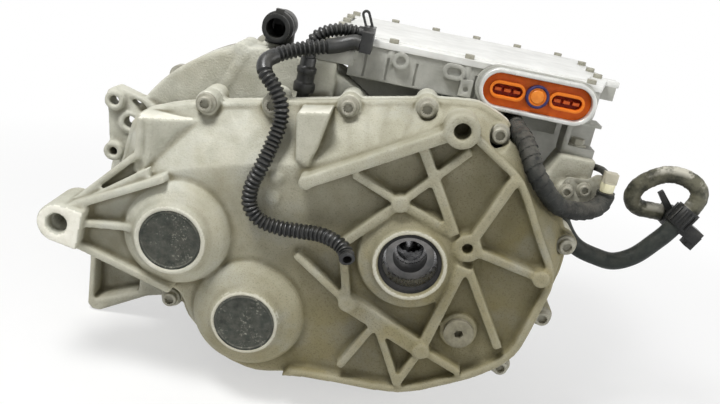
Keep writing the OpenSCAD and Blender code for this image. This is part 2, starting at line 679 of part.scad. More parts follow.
// Motor housing: jacketed tube with a flange on the bell, feet, and the shelf for the inverter
motor_bolt_angles = [20, 60, 100, 140, 250, 290, 330];
module motor_housing() {
    color([0.68, 0.67, 0.63])
        difference() {
            union() {
                slab(motor_y, motor_y + flange_t) bell_plan(0);
                for (a = motor_bolt_angles) rod(bell_centre + polar(bell_r - 4, a), bolt_boss_r, motor_y, motor_y + flange_t);
                rod(motor_axis, motor_r - 4, motor_y, end_y);
                for (k = [0:ring_count - 1])
                    let (y = motor_y + ring_edge + k * (motor_len - 2 * ring_edge + ring_w) / (ring_count - 1))
                        rod(motor_axis, motor_r, y, y + ring_w);
                for (x = [-74, 36])
                    slab(end_y - 40, end_y - 6)
                        translate(motor_axis) polygon([[x, -60], [x + 38, -60], [x + 30, ground_z - motor_axis[1]],
                            [x + 8, ground_z - motor_axis[1]]]);
                slab(inverter_y + deep_y + 4, inverter_y + inverter_len - 6)
                    polygon([[motor_axis[0] + 60, shelf_z - shelf_t], [150, shelf_z - shelf_t], [150, shelf_z],
                        [motor_axis[0] + 40, shelf_z]]);
                for (k = [0:1])
                    slab(inverter_y + deep_y + 34 + 44 * k, inverter_y + deep_y + 42 + 44 * k)
                        polygon([motor_axis + [90, -20], [-44, shelf_z - shelf_t + cut], motor_axis + [60, 70]]);
            }
            rod(motor_axis, stator_r + run_fit, motor_y - cut, end_y + cut);
            rod(output_axis, diff_bearing_r + wall + gap, motor_y - cut, motor_y + flange_t + cut);
            for (a = motor_bolt_angles) rod(bell_centre + polar(bell_r - 4, a), bolt_r + gap, motor_y - cut, motor_y + 20);
            for (a = [0:45:315]) rod(motor_axis + polar(stator_r + 4, a), 2.5 + run_fit, end_y - 14, end_y + cut);
            for (p = shelf_bolts) translate([p[0], p[1], shelf_z - 20]) cylinder(r = bolt_r + gap, h = 30);
        }
}

// End cover of the motor with its bearing seat and ribs
module motor_end_cover() {
    color([0.68, 0.67, 0.63])
        difference() {
            union() {
                rod(motor_axis, motor_r - 4, end_y, end_y + end_cover_t);
                rod(motor_axis, shaft_bearing_r + wall, end_bearing_y - 4, end_y + 22);
                slab(end_y, end_y + 18)
                    for (a = [22.5:45:360]) rib(motor_axis, motor_axis + polar(motor_r - 10, a), 6);
            }
            rod(motor_axis, shaft_bearing_r + 0.01, end_bearing_y - 6, end_bearing_y + bearing_w);
            rod(motor_axis, shaft_bearing_r - 4, end_bearing_y, end_bearing_y + bearing_w + 4);
            for (a = [0:45:315]) rod(motor_axis + polar(stator_r + 4, a), 2.5 + gap, end_y - cut, end_y + end_cover_t + cut);
        }
}

// Black plastic caps over the ends of the motor shaft and the layshaft
module bearing_cap(at, y) {
    turned(at, [[0, y + 0.8], [cap_r - 3, y + 0.8], [cap_r - 2, y], [cap_r, y + 0.6], [cap_r, y + cap_t],
        [shaft_bearing_r - 4, y + cap_t], [shaft_bearing_r - 5, y + cap_t + 1], [0, y + cap_t + 1]]);
}
module bearing_cap_upper() {
    color([0.22, 0.23, 0.22]) bearing_cap(motor_axis, cap_upper_y);
}
module bearing_cap_lower() {
    color([0.22, 0.23, 0.22]) bearing_cap(lay_axis, cap_lower_y);
}

// Flange bolts and dowels of the parting face
module cover_bolts() {
    color([0.6, 0.6, 0.57])
        for (p = bolt_places) flange_bolt(p, bolt_seat_y, bolt_r, bolt_len);
}
module dowel_pins() {
    color([0.7, 0.7, 0.7])
        for (p = dowel_places) rod(p, dowel_r, parting - 7, housing_y + 7);
}

// Drain plug with a hexagon socket
module drain_plug() {
    color([0.55, 0.54, 0.5])
        difference() {
            union() {
                rod(plug_at, 14, floor_y - 12, floor_y - 6);
                rod(plug_at, 9, floor_y - 7, floor_y + wall);
            }
            slab(floor_y - 13, floor_y - 3) translate(plug_at) circle(4.6, $fn = 6);
        }
}

// Screws of the motor's end cover and bolts of its flange
module end_cover_bolts() {
    color([0.5, 0.5, 0.5])
        for (a = [0:45:315]) let (p = motor_axis + polar(stator_r + 4, a)) {
            rod(p, 2.5, end_y - 12, end_y + end_cover_t + cut);
            rod(p, 4.5, end_y + end_cover_t, end_y + end_cover_t + 5);
        }
}
module motor_flange_bolts() {
    color([0.5, 0.5, 0.5])
        for (a = motor_bolt_angles) let (p = bell_centre + polar(bell_r - 4, a)) {
            rod(p, bolt_r, motor_y - 11, motor_y + flange_t + cut);
            slab(motor_y + flange_t, motor_y + flange_t + 7) translate(p) circle(1.75 * bolt_r, $fn = 6);
        }
}

// Lip seals of the two outputs
module output_seal(y, way) {
    turned(output_axis, [[seal_hole_r + 0.8, y], [seal_r, y], [seal_r, y + way * seal_t],
        [seal_hole_r + 1.5, y + way * seal_t], [seal_hole_r, y + way * 5], [seal_hole_r + 2, y + way * 3]]);
}
module output_seal_front() {
    color([0.12, 0.12, 0.12]) output_seal(mouth_d, 1);
}
module output_seal_rear() {
    color([0.12, 0.12, 0.12]) output_seal(rear_seal_y + seal_t, -1);
}

// Bearings, outer rings in the castings
module motor_bearing_outers() {
    color([0.75, 0.75, 0.76])
        for (y = [front_bearing_y, rear_bearing_y, end_bearing_y])
            bearing_outer(motor_axis, y, shaft_bearing_bore, shaft_bearing_r);
}
module layshaft_bearing_outers() {
    color([0.75, 0.75, 0.76])
        for (y = [front_bearing_y, rear_bearing_y]) bearing_outer(lay_axis, y, shaft_bearing_bore, shaft_bearing_r);
}
module diff_bearing_outers() {
    color([0.75, 0.75, 0.76])
        for (y = [diff_front_y, diff_rear_y]) bearing_outer(output_axis, y, diff_bearing_bore, diff_bearing_r);
}

// Stator stack with slots, and the end turns of its windings
slots = 36;
module stator_core() {
    color([0.45, 0.46, 0.48])
        slab(stack_y, stack_y + stack_len)
            translate(motor_axis)
                difference() {
                    circle(stator_r);
                    circle(rotor_r + air_gap);
                    for (k = [0:slots - 1])
                        rotate(360 * k / slots) translate([rotor_r + air_gap + 3, -1.8]) square([16, 3.6]);
                }
}
module stator_windings() {
    color([0.72, 0.4, 0.18])
        for (y = [stack_y - winding_len, stack_y + stack_len])
            turned(motor_axis, [[rotor_r + 4, y + 0.5], [rotor_r + 8, y], [stator_r - 14, y], [stator_r - 10, y + 4],
                [stator_r - 10, y + winding_len - 4], [stator_r - 14, y + winding_len], [rotor_r + 8, y + winding_len],
                [rotor_r + 4, y + winding_len - 0.5]]);
}

// Motor shaft, its pinion and the rotor
pinion_seat_r = 14;
rotor_shaft_r = 22;
module input_shaft() {
    color([0.6, 0.6, 0.62])
        turned(motor_axis, [[0, front_bearing_y - 2], [shaft_bearing_bore - 1, front_bearing_y - 2],
            [shaft_bearing_bore, front_bearing_y - 1], [shaft_bearing_bore, front_bearing_y + bearing_w],
            [pinion_seat_r, front_bearing_y + bearing_w + gap], [pinion_seat_r, first_y + first_width + 1],
            [shaft_bearing_bore, first_y + first_width + 1], [shaft_bearing_bore, rear_bearing_y + bearing_w + 3],
            [rotor_shaft_r, rear_bearing_y + bearing_w + 3], [rotor_shaft_r, end_bearing_y - gap],
            [shaft_bearing_bore, end_bearing_y - gap], [shaft_bearing_bore, end_bearing_y + bearing_w + 2],
            [0, end_bearing_y + bearing_w + 2]]);
}
module input_pinion() {
    color([0.62, 0.62, 0.6])
        toothed(motor_axis, pinion_teeth, first_module, motor_direction + 180, pinion_seat_r + 0.02,
            first_y, first_y + first_width);
}
module rotor_core() {
    color([0.4, 0.41, 0.43])
        slab(stack_y, stack_y + stack_len)
            translate(motor_axis)
                difference() {
                    circle(rotor_r);
                    circle(rotor_shaft_r + 0.02);
                    for (a = [0:60:300]) rotate(a) translate([38, 0]) circle(9);
                }
}
module motor_bearing_inners() {
    color([0.78, 0.78, 0.79])
        for (y = [front_bearing_y, rear_bearing_y, end_bearing_y]) bearing_inner(motor_axis, y, shaft_bearing_bore);
}

// Layshaft with its wheel and pinion
lay_seat_r = 20;
module layshaft() {
    color([0.6, 0.6, 0.62])
        turned(lay_axis, [[0, front_bearing_y - 2], [shaft_bearing_bore, front_bearing_y - 2],
            [shaft_bearing_bore, front_bearing_y + bearing_w + gap], [lay_seat_r - 3, front_bearing_y + bearing_w + 8],
            [lay_seat_r - 3, second_y - 3], [lay_seat_r, second_y - 1], [lay_seat_r, second_y + second_width + 1],
            [lay_seat_r + 6, second_y + second_width + 1], [lay_seat_r + 6, first_y - 1], [lay_seat_r, first_y - 1],
            [lay_seat_r, first_y + first_width], [shaft_bearing_bore, first_y + first_width + 1],
            [shaft_bearing_bore, rear_bearing_y + bearing_w + 1], [0, rear_bearing_y + bearing_w + 1]]);
}
module layshaft_wheel() {
    color([0.62, 0.62, 0.6])
        toothed(lay_axis, wheel_teeth, first_module, motor_direction + 180 / wheel_teeth, lay_seat_r + 0.02,
            first_y, first_y + first_width - 1);
}
module layshaft_pinion() {
    color([0.62, 0.62, 0.6])
        toothed(lay_axis, lay_pinion_teeth, second_module, lay_direction + 180, lay_seat_r + 0.02,
            second_y, second_y + second_width);
}
module layshaft_bearing_inners() {
    color([0.78, 0.78, 0.79])
        for (y = [front_bearing_y, rear_bearing_y]) bearing_inner(lay_axis, y, shaft_bearing_bore);
}

// Differential: case with windows, welded ring gear, cross pin, two side gears and two spider gears
ring_bore = diff_case_r + 12;
ring_seat_w = 12;
side_hub_r = 19;
side_back = bevel_module * spider_teeth / 2 + 7;
spider_back = bevel_module * side_teeth / 2 + 5;
side_seat = side_back + gap;
module diff_case() {
    hub = diff_bearing_bore;
    color([0.5, 0.5, 0.5])
        difference() {
            turned(output_axis, [[0, diff_front_y - 2], [hub, diff_front_y - 2], [hub, diff_y - diff_half],
                [diff_case_r - 8, diff_y - diff_half + 4], [diff_case_r, diff_y - diff_half + 12],
                [diff_case_r, second_y + second_width - 8], [ring_bore, second_y + second_width - 4],
                [ring_bore, second_y + second_width], [ring_bore + ring_seat_w, second_y + second_width],
                [ring_bore + ring_seat_w, second_y + second_width + 5], [diff_case_r, second_y + second_width + 6],
                [diff_case_r, diff_y + diff_half - 8], [hub, diff_y + diff_half], [hub, diff_rear_y + bearing_w + 1],
                [0, diff_rear_y + bearing_w + 1]]);
            rod(output_axis, diff_case_r - 6, diff_y - side_seat, diff_y + side_seat);
            rod(output_axis, side_hub_r + run_fit, diff_y - side_seat - 12, diff_y + side_seat + 12);
            rod(output_axis, half_shaft_r + 3, diff_front_y - 4, diff_rear_y + bearing_w + 4);
            translate([0, diff_y, -diff_case_r - 5]) cylinder(r = cross_pin_r + 0.02, h = 2 * diff_case_r + 10);
            translate([-diff_case_r - 20, diff_y - 18, -20]) cube([2 * diff_case_r + 40, 36, 40]);
        }
}
module ring_gear() {
    color([0.62, 0.62, 0.6])
        toothed(output_axis, ring_teeth, second_module, lay_direction + 180 / ring_teeth, ring_bore + 0.02,
            second_y, second_y + second_width);
}
module cross_pin() {
    color([0.7, 0.7, 0.7])
        translate([0, diff_y, -diff_case_r + 2]) cylinder(r = cross_pin_r, h = 2 * diff_case_r - 4);
}
module diff_bearing_inners() {
    color([0.78, 0.78, 0.79])
        for (y = [diff_front_y, diff_rear_y]) bearing_inner(output_axis, y, diff_bearing_bore);
}
module side_gear(tilt) {
    translate([0, diff_y, 0])
        rotate([tilt, 0, 0])
            bevel(side_teeth, spider_teeth, 90 + 180 / side_teeth, side_hub_r, side_back + 11, half_shaft_r);
}
module side_gear_front() {
    color([0.66, 0.66, 0.64]) side_gear(90);
}
module side_gear_rear() {
    color([0.66, 0.66, 0.64]) side_gear(-90);
}
module spider_gear(tilt) {
    translate([0, diff_y, 0])
        rotate([tilt, 0, 0])
            bevel(spider_teeth, side_teeth, 90, cross_pin_r + 4, spider_back, cross_pin_r + run_fit);
}
module spider_gear_upper() {
    color([0.66, 0.66, 0.64]) spider_gear(0);
}
module spider_gear_lower() {
    color([0.66, 0.66, 0.64]) spider_gear(180);
}

// Inverter case: shallow tray over the gearbox, deep bay beside the motor
shelf_bolts = [[40, inverter_y + deep_y + 14], [132, inverter_y + deep_y + 14], [40, inverter_y + inverter_len - 20],
    [132, inverter_y + inverter_len - 20]];
lid_screw_places = concat(
    [for (x = [-91, -55, 19, 138]) [x, 7]], [for (x = [-108, -60, -10, 40, 90, 140]) [x, inverter_len - 7]],
    [for (y = [62, 112, 162]) [-111, y]], [[157, 66], [159, 112], [160, 162]]);
module plan(z_low, z_high) {
    translate([0, inverter_y, z_low]) linear_extrude(z_high - z_low) children();
}
module clipped_left(d) {
    difference() {
        polygon(inset(lid_plan, d));
        translate([case_left - 100 + d, -10]) square([100, inverter_len + 20]);
    }
}
module deep_plan(d) {
    translate([deep_x + d, deep_y + d]) square([150 - deep_x - 2 * d, inverter_len - deep_y - 4 - 2 * d]);
}
module inverter_case() {
    tray_z = inverter_z + 6;
    eye_z = inverter_z + 24;
    color([0.74, 0.74, 0.72])
        difference() {
            union() {
                plan(inverter_z, inverter_top) clipped_left(2);
                plan(inverter_z + 12, inverter_top) polygon(inset(lid_plan, 2));
                plan(shelf_z, inverter_z + cut) deep_plan(0);
                for (p = lid_screw_places) plan(inverter_top - 16, inverter_top) translate(p) circle(6.5);
                plan(inverter_z - tray_drop, inverter_z + cut) translate([tray_left, tray_back]) square([182, 76]);
                slab(inverter_y + tray_back, motor_y - 2)
                    difference() {
                        translate([case_left + 4, inverter_z - tray_drop])
                            square([tray_left - case_left, tray_drop + cut]);
                        disc(bell_centre, bell_r + 5 * gap);
                    }
                plan(column_z, inverter_top - 8) translate(left_bolt - [13, 13]) square([40, 24]);
                plan(pad_z, inverter_z + cut) translate(right_bolt - [16, 11]) square([32, 26]);
                plan(inverter_top - 14, inverter_top) translate([160, 62]) square([18, 14]);
                slab(inverter_y - 4, inverter_y + 4) {
                    disc([-45, eye_z], 8);
                    stadium([7, eye_z], 22, 15);
                    translate([15, inverter_z + 3]) square([12, 16]);
                    stadium(hv_centre, hv_w + 6, hv_h + 2);
                }
            }
            plan(tray_z, inverter_top + cut) polygon(inset(lid_plan, 14));
            difference() {
                plan(shelf_z + case_wall, tray_z + cut) deep_plan(case_wall);
                for (p = shelf_bolts) translate([p[0], p[1], shelf_z]) cylinder(r = 2 * bolt_r, h = 15);
            }
            plan(pad_z + 8, inverter_z - 2) translate(right_bolt - [16 - case_wall, 12]) square([40, 27 - case_wall]);
            for (p = lid_screw_places) plan(inverter_top - 12, inverter_top + cut) translate(p) circle(2.5 + run_fit);
            slab(inverter_y - 6, inverter_y - 1) {
                disc([-45, eye_z], 4.5);
                stadium([7, eye_z], 14, 8);
                disc([21, inverter_z + 10], 2.5);
            }
            slab(inverter_y - 1, inverter_y + 4) {
                for (x = [-80, -58, -30, 28]) translate([x, inverter_z + 2]) square([2.5, inverter_h - 10]);
            }
            slab(inverter_y - 6, inverter_y + hv_floor) stadium(hv_centre, hv_w - 2 * hv_rim, hv_h - 2 * hv_rim);
            translate([right_bolt[0], inverter_y + right_bolt[1], pad_z - cut]) cylinder(r = bolt_r + gap, h = 12);
            translate([left_bolt[0], inverter_y + left_bolt[1], column_z - cut]) cylinder(r = bolt_r + gap, h = 30);
            for (p = shelf_bolts) translate([p[0], p[1], shelf_z - cut]) cylinder(r = bolt_r + run_fit, h = 13);
            translate([lead_route[0][0], inverter_y + deep_y - cut, lead_route[0][2]])
                rotate([-90, 0, 0]) cylinder(r = lead_r + 2 + run_fit, h = 10);
        }
}

// Inverter lid with a raised panel and an end lug, and its screws
module inverter_lid() {
    color([0.85, 0.85, 0.84])
        difference() {
            union() {
                plan(inverter_top, inverter_top + lid_t) polygon(softened(lid_plan, 0.04));
                plan(inverter_top, inverter_top + lid_t) translate([160, 62]) square([20, 18]);
                plan(inverter_top, inverter_top + lid_t + 1.5) polygon(softened(inset(lid_plan, 16), 0.06));
            }
            plan(inverter_top - cut, inverter_top + lid_t - 3) polygon(inset(lid_plan, 20));
            slab(inverter_y - 6, inverter_y + hv_floor + gap) stadium(hv_centre, hv_w + 6 + 2 * gap, hv_h + 2 + 2 * gap);
            for (p = lid_screw_places) plan(inverter_top - cut, inverter_top + lid_t + 3) translate(p) circle(2.5 + gap);
        }
}
module lid_screws() {
    color([0.55, 0.55, 0.55])
        for (p = lid_screw_places) {
            plan(inverter_top - 11, inverter_top + lid_t + cut) translate(p) circle(2.5);
            plan(inverter_top + lid_t, inverter_top + lid_t + 4) translate(p) circle(4.6);
        }
}

// Bolts that hold the inverter on the gear housing and on the motor's shelf
module upright_bolt(at, seat, len) {
    translate([at[0], at[1], seat - len]) cylinder(r = bolt_r, h = len + cut);
    translate([at[0], at[1], seat]) cylinder(r = 2.3 * bolt_r, h = 1.6);
    translate([at[0], at[1], seat + 1]) cylinder(r = 1.75 * bolt_r, h = 6, $fn = 6);
}
module inverter_bolts() {
    color([0.6, 0.6, 0.58]) {
        upright_bolt(right_bolt + [0, inverter_y], pad_z + 8, 26);
        upright_bolt(left_bolt + [0, inverter_y], inverter_top - 8, 36);
        for (p = shelf_bolts) translate([p[0], p[1], shelf_z - shelf_t]) mirror([0, 0, 1]) upright_bolt([0, 0], 0, shelf_t + 11);
    }
}

// Power electronics inside the inverter
module dc_capacitor() {
    color([0.15, 0.15, 0.16])
        plan(shelf_z + case_wall, inverter_z - 8) translate([deep_x + 10, deep_y + 26]) square([100, inverter_len - deep_y - 60]);
}
phase_pitch = (inverter_len - 108) / 3;
module power_module() {
    color([0.25, 0.27, 0.3]) {
        plan(inverter_z + 6, inverter_z + 18) translate([-84, 70]) square([96, 3 * phase_pitch + 2]);
        for (k = [0:2])
            plan(inverter_z + 18, inverter_z + 21) translate([-80, 76 + phase_pitch * k]) square([88, phase_pitch - 8]);
    }
}
module control_board() {
    color([0.1, 0.35, 0.2]) {
        plan(inverter_z + 25, inverter_z + 26.6) translate([-80, 64]) square([88, inverter_len - 94]);
        for (x = [-76, 4])
            for (y = [67, inverter_len - 33]) plan(inverter_z + 6, inverter_z + 25.5) translate([x, y]) circle(2.5);
    }
}

// High-voltage socket: metal shell, orange insulator, blade contacts, lock ring and cap
hv_front = inverter_y - hv_out;
module hv_shell() {
    color([0.82, 0.82, 0.8])
        slab(hv_front, inverter_y - 4)
            difference() {
                stadium(hv_centre, hv_w, hv_h);
                stadium(hv_centre, hv_w - 2 * hv_rim, hv_h - 2 * hv_rim);
            }
}
module hv_insert() {
    color([0.93, 0.4, 0.08])
        difference() {
            union() {
                slab(hv_front + 7, inverter_y + hv_floor) stadium(hv_centre, hv_w - 2 * hv_rim - gap, hv_h - 2 * hv_rim - gap);
                for (s = [-1, 1]) slab(hv_front + 3, inverter_y) stadium(hv_centre + [s * slot_pitch / 2, 0], slot_w + 5, slot_h + 6);
                rod(hv_centre, lock_r - 2.5, hv_front + 2, inverter_y);
            }
            for (s = [-1, 1]) slab(hv_front, inverter_y - 2) stadium(hv_centre + [s * slot_pitch / 2, 0], slot_w, slot_h);
            rod(hv_centre, lock_r - 4, hv_front, hv_front + 8);
        }
}
module hv_contacts() {
    color([0.55, 0.25, 0.12])
        for (s = [-1, 1])
            slab(hv_front + 5, inverter_y - 2)
                for (k = [-1:1]) translate(hv_centre + [s * slot_pitch / 2 + 9 * k - 3, -1.5]) square([6, 3]);
}
module hv_lock_ring() {
    color([0.18, 0.14, 0.42])
        slab(hv_front + 1, hv_front + 6.8)
            difference() {
                disc(hv_centre, lock_r);
                disc(hv_centre, lock_r - 2.5 + run_fit);
            }
}
module hv_lock_cap() {
    color([0.98, 0.55, 0.15])
        turned(hv_centre, [[0, hv_front + 1.5], [lock_r - 5, hv_front + 1.5], [lock_r - 4 - run_fit, hv_front + 2.5],
            [lock_r - 4 - run_fit, hv_front + 8], [0, hv_front + 8]]);
}

// Coolant connection: spigot in the bell and the push-on elbow that faces forward
module coolant_stub() {
    color([0.75, 0.75, 0.74])
        translate([coolant_x, coolant_y, bell_r - 14])
            difference() {
                cylinder(r = coolant_bore + 1.5, h = 22);
                translate([0, 0, -cut]) cylinder(r = coolant_bore - 2, h = 30);
            }
}
module coolant_elbow() {
    centre = [coolant_x, coolant_z];
    color([0.1, 0.1, 0.11])
        difference() {
            union() {
                turned(centre, [[0, coolant_front], [13.5, coolant_front], [13.5, coolant_front + 3],
                    [12.5, coolant_front + 4], [12.5, coolant_front + 10], [15.5, coolant_front + 11],
                    [15.5, coolant_front + 18], [13.5, coolant_front + 19], [13.5, coolant_front + 24],
                    [15, coolant_front + 25], [15, coolant_y + 10], [12, coolant_y + 14], [0, coolant_y + 14]]);
                translate([coolant_x, coolant_y, bell_r + 2 + gap]) cylinder(r = 14.5, h = coolant_z - bell_r - 2);
                translate([coolant_x, coolant_front + 14, coolant_z + 14]) cube([8, 8, 7], center = true);
            }
            rod(centre, coolant_bore, coolant_front - cut, coolant_y);
            translate([coolant_x, coolant_y, bell_r - cut]) cylinder(r = coolant_bore + 1.5 + run_fit, h = 10);
            translate([coolant_x, coolant_y, bell_r]) cylinder(r = coolant_bore - 2, h = coolant_z - bell_r);
        }
}

// Breather: fitting on the gearbox, link hose to the joint on the inverter, and the loose hose
module breather_fitting() {
    color([0.16, 0.18, 0.2])
        translate([breather_x, breather_y, 0])
            rotate_extrude() polygon([[0, 104], [6, 104], [6, 119], [10, 119], [10.5, 122], [10.5, 127], [8.5, 129],
                [8.5, 136], [9.5, 138], [9.5, 142], [7.5, 144], [7.5, breather_z - gap], [0, breather_z - gap]]);
}
module breather_link() {
    color([0.1, 0.1, 0.1]) tube(link_route, link_r);
}
module hose_joint() {
    color([0.12, 0.12, 0.12]) {
        translate([joint_x, hose_start[1] - hose_r, hose_start[2] - hose_r])
            cube([11, inverter_y - gap - hose_start[1] + hose_r, 19]);
        translate([joint_x, 88, inverter_top + lid_t]) cube([11, 20, 12]);
        translate([joint_x + 5, 97, inverter_top + lid_t + 11])
            rotate([90, -25, 0])
                linear_extrude(3)
                    difference() {
                        stadium_up([0, 7], 8, 20);
                        stadium_up([0, 8], 3.5, 13);
                    }
    }
}
module breather_hose() {
    color([0.1, 0.1, 0.1]) tube(hose_route, hose_r);
}

// Taped harness from under the inverter to its plug on a sheet bracket, and the thin lead behind the plug
bracket_t = 2.5;
bracket_y = housing_y + flange_t + bracket_t + 0.5;
bracket_places = [[137, 76], [153, 81]];
module signal_harness() {
    color([0.13, 0.13, 0.14]) {
        tube(harness_route, harness_r);
        tube(sensor_route, sensor_r);
    }
}
module harness_plug() {
    color([0.86, 0.83, 0.66])
        translate(plug_base + [0, 0, gap]) {
            cylinder(r = 6.5, h = 10);
            translate([-6, -5, 9]) cube([12, 10, 10]);
            translate([-4, 0, 1]) cube([8, bracket_y - bracket_t - plug_base[1], 9]);
        }
}
module harness_bracket() {
    color([0.7, 0.7, 0.68])
        slab(bracket_y - bracket_t, bracket_y)
            difference() {
                polygon(softened([[128, 62], [152, 60], [180, 70], [180, 98], [162, 98], [154, 91], [134, 90]], 0.15));
                for (p = bracket_places) disc(p, bolt_r - 1 + gap);
            }
}
module bracket_bolts() {
    color([0.6, 0.6, 0.58])
        for (p = bracket_places) flange_bolt(p, bracket_y - bracket_t, bolt_r - 1, 22);
}

// Stiff power lead with its gland on the inverter and its plug at the end of the loop
module power_lead() {
    color([0.2, 0.2, 0.18]) tube(lead_route, lead_r);
}
module lead_gland() {
    color([0.15, 0.15, 0.15])
        translate([lead_route[0][0], lead_route[0][1] + gap, lead_route[0][2]])
            rotate([-90, 0, 0]) {
                cylinder(r = lead_r + 2, h = 16);
                cylinder(r = lead_r + 5, h = inverter_y + deep_y - lead_route[0][1] - gap, $fn = 6);
            }
}
module lead_plug() {
    from = lead_route[10];
    lean = atan2(lead_route[11][0] - from[0], lead_route[11][2] - from[2]);
    last = lead_route[len(lead_route) - 1];
    color([0.12, 0.12, 0.12])
        difference() {
            union() {
                translate(from) rotate([0, lean, 0]) {
                    translate([0, 0, 7]) cylinder(r = lead_r + 3, h = 21);
                    for (a = [120:30:300]) rotate(a) translate([lead_r + 2, -1.2, 9]) cube([2.6, 2.4, 17]);
                    translate([2, -9, 3]) cube([24, 20, 14]);
                    translate([19, -7, -3]) cube([9, 15, 16]);
                }
                translate(last + [gap, -19, -10]) cube([13, 29, 18]);
                slab(last[1] - 16, last[1] - 11)
                    translate([last[0], last[2]]) polygon([[12, 3], [2, 13], [-11, 27], [-15, 23], [-2, 7]]);
            }
            translate(from) rotate([0, lean, 0]) cylinder(r = lead_r + gap, h = 60, center = true);
        }
}

gear_cover();
cover_gasket();
gear_housing();
motor_housing();
motor_end_cover();
bearing_cap_upper();
bearing_cap_lower();
cover_bolts();
dowel_pins();
drain_plug();
end_cover_bolts();
motor_flange_bolts();
output_seal_front();
output_seal_rear();
motor_bearing_outers();
layshaft_bearing_outers();
diff_bearing_outers();
stator_core();
stator_windings();
input_shaft();
input_pinion();
rotor_core();
motor_bearing_inners();
layshaft();
layshaft_wheel();
layshaft_pinion();
layshaft_bearing_inners();
diff_case();
ring_gear();
cross_pin();
diff_bearing_inners();
side_gear_front();
side_gear_rear();
spider_gear_upper();
spider_gear_lower();
inverter_case();
inverter_lid();
lid_screws();
inverter_bolts();
dc_capacitor();
power_module();
control_board();
hv_shell();
hv_insert();
hv_contacts();
hv_lock_ring();
hv_lock_cap();
coolant_stub();
coolant_elbow();
breather_fitting();
breather_link();
hose_joint();
breather_hose();
signal_harness();
harness_plug();
harness_bracket();
bracket_bolts();
power_lead();
lead_gland();
lead_plug();
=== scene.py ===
import math

import bpy
import numpy as np
from mathutils import Matrix, Vector


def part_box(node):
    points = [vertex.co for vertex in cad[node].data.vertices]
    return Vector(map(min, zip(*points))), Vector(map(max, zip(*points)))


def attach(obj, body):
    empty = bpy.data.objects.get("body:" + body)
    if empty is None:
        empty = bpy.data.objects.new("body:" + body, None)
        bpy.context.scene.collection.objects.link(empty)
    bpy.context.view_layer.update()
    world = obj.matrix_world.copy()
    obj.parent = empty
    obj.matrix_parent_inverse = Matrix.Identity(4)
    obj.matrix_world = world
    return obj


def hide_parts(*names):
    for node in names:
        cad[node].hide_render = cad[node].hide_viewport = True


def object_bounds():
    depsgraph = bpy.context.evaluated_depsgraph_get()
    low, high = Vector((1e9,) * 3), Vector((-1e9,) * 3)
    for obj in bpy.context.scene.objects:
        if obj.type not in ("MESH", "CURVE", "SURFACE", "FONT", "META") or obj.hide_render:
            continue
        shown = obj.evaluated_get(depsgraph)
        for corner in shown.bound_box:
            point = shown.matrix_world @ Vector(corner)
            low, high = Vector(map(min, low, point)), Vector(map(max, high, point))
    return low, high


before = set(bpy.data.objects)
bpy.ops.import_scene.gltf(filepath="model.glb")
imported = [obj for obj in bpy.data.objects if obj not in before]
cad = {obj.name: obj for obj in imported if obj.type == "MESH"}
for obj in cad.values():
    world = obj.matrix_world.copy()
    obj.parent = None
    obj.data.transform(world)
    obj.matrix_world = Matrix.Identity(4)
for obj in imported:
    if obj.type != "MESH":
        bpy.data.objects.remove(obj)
cad_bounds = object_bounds()
scene = bpy.context.scene
scene.view_settings.view_transform = "Standard"

# Camera: a hand-held view from the front and a little above, held askew so that the unit seems to lean to the
# right. Its place and angles were found by matching the rings, caps, bolts and lug of the unit.
eye = (-0.0481, -0.6327, 0.2657)
pan, tilt, lean = math.radians(0.65), math.radians(71.2), math.radians(11.5)
lens = bpy.data.cameras.new("camera")
lens.lens = 38.0
lens.sensor_width = 36.0
camera = bpy.data.objects.new("camera", lens)
aim = Matrix.Rotation(pan, 4, "Z") @ Matrix.Rotation(tilt, 4, "X") @ Matrix.Rotation(lean, 4, "Z")
camera.matrix_world = Matrix.Translation(eye) @ aim
scene.collection.objects.link(camera)
scene.camera = camera


# Breather hose: black corrugated polyamide tube, blow moulded, with a smooth cuff pushed into the clip and a
# second smooth length at the bend. Its bare lower end hangs in front of the cover.
hose_r = 0.0072
hose_cuff = 0.032
hose_bend_half = 0.011
hose_mouth = 0.012
rib_pitch = 0.0045
rib_depth = 0.26
rib_edge = math.radians(32)
rib_sides = 18
hose_points = [
    (-0.0853, 0.0835, 0.1745), (-0.092, 0.0835, 0.1745), (-0.106, 0.080, 0.169), (-0.122, 0.074, 0.165),
    (-0.139, 0.068, 0.160), (-0.154, 0.060, 0.154), (-0.164, 0.050, 0.147), (-0.162, 0.041, 0.138),
    (-0.151, 0.035, 0.128), (-0.142, 0.031, 0.114), (-0.140, 0.028, 0.098), (-0.143, 0.022, 0.080),
    (-0.148, 0.0135, 0.060), (-0.154, 0.012, 0.040), (-0.153, 0.012, 0.022), (-0.142, 0.012, 0.010),
    (-0.124, 0.012, 0.006), (-0.105, 0.010, 0.0075), (-0.086, 0.005, 0.0105), (-0.073, -0.001, 0.0105),
    (-0.063, -0.006, 0.0075), (-0.058, -0.012, 0.004), (-0.056, -0.019, 0.002),
]
hose_bend_point = hose_points[6]


def smooth_run(points, step):
    """Evenly spaced points on a smooth line through the given ones, and how far along it each lies."""
    knots = [Vector(point) for point in points]
    knots = [2 * knots[0] - knots[1], *knots, 2 * knots[-1] - knots[-2]]
    fine = []
    for before, start, end, after in zip(knots, knots[1:], knots[2:], knots[3:]):
        bend = 2 * before - 5 * start + 4 * end - after
        twist = 3 * start - before - 3 * end + after
        for k in range(16):
            share = k / 16
            fine.append(start + 0.5 * ((end - before) * share + bend * share**2 + twist * share**3))
    fine = np.array([*fine, knots[-2]])
    reach = np.concatenate([[0], np.cumsum(np.linalg.norm(np.diff(fine, axis=0), axis=1))])
    even = np.linspace(0, reach[-1], max(2, round(reach[-1] / step)) + 1)
    return np.stack([np.interp(even, reach, fine[:, axis]) for axis in range(3)], axis=1), even


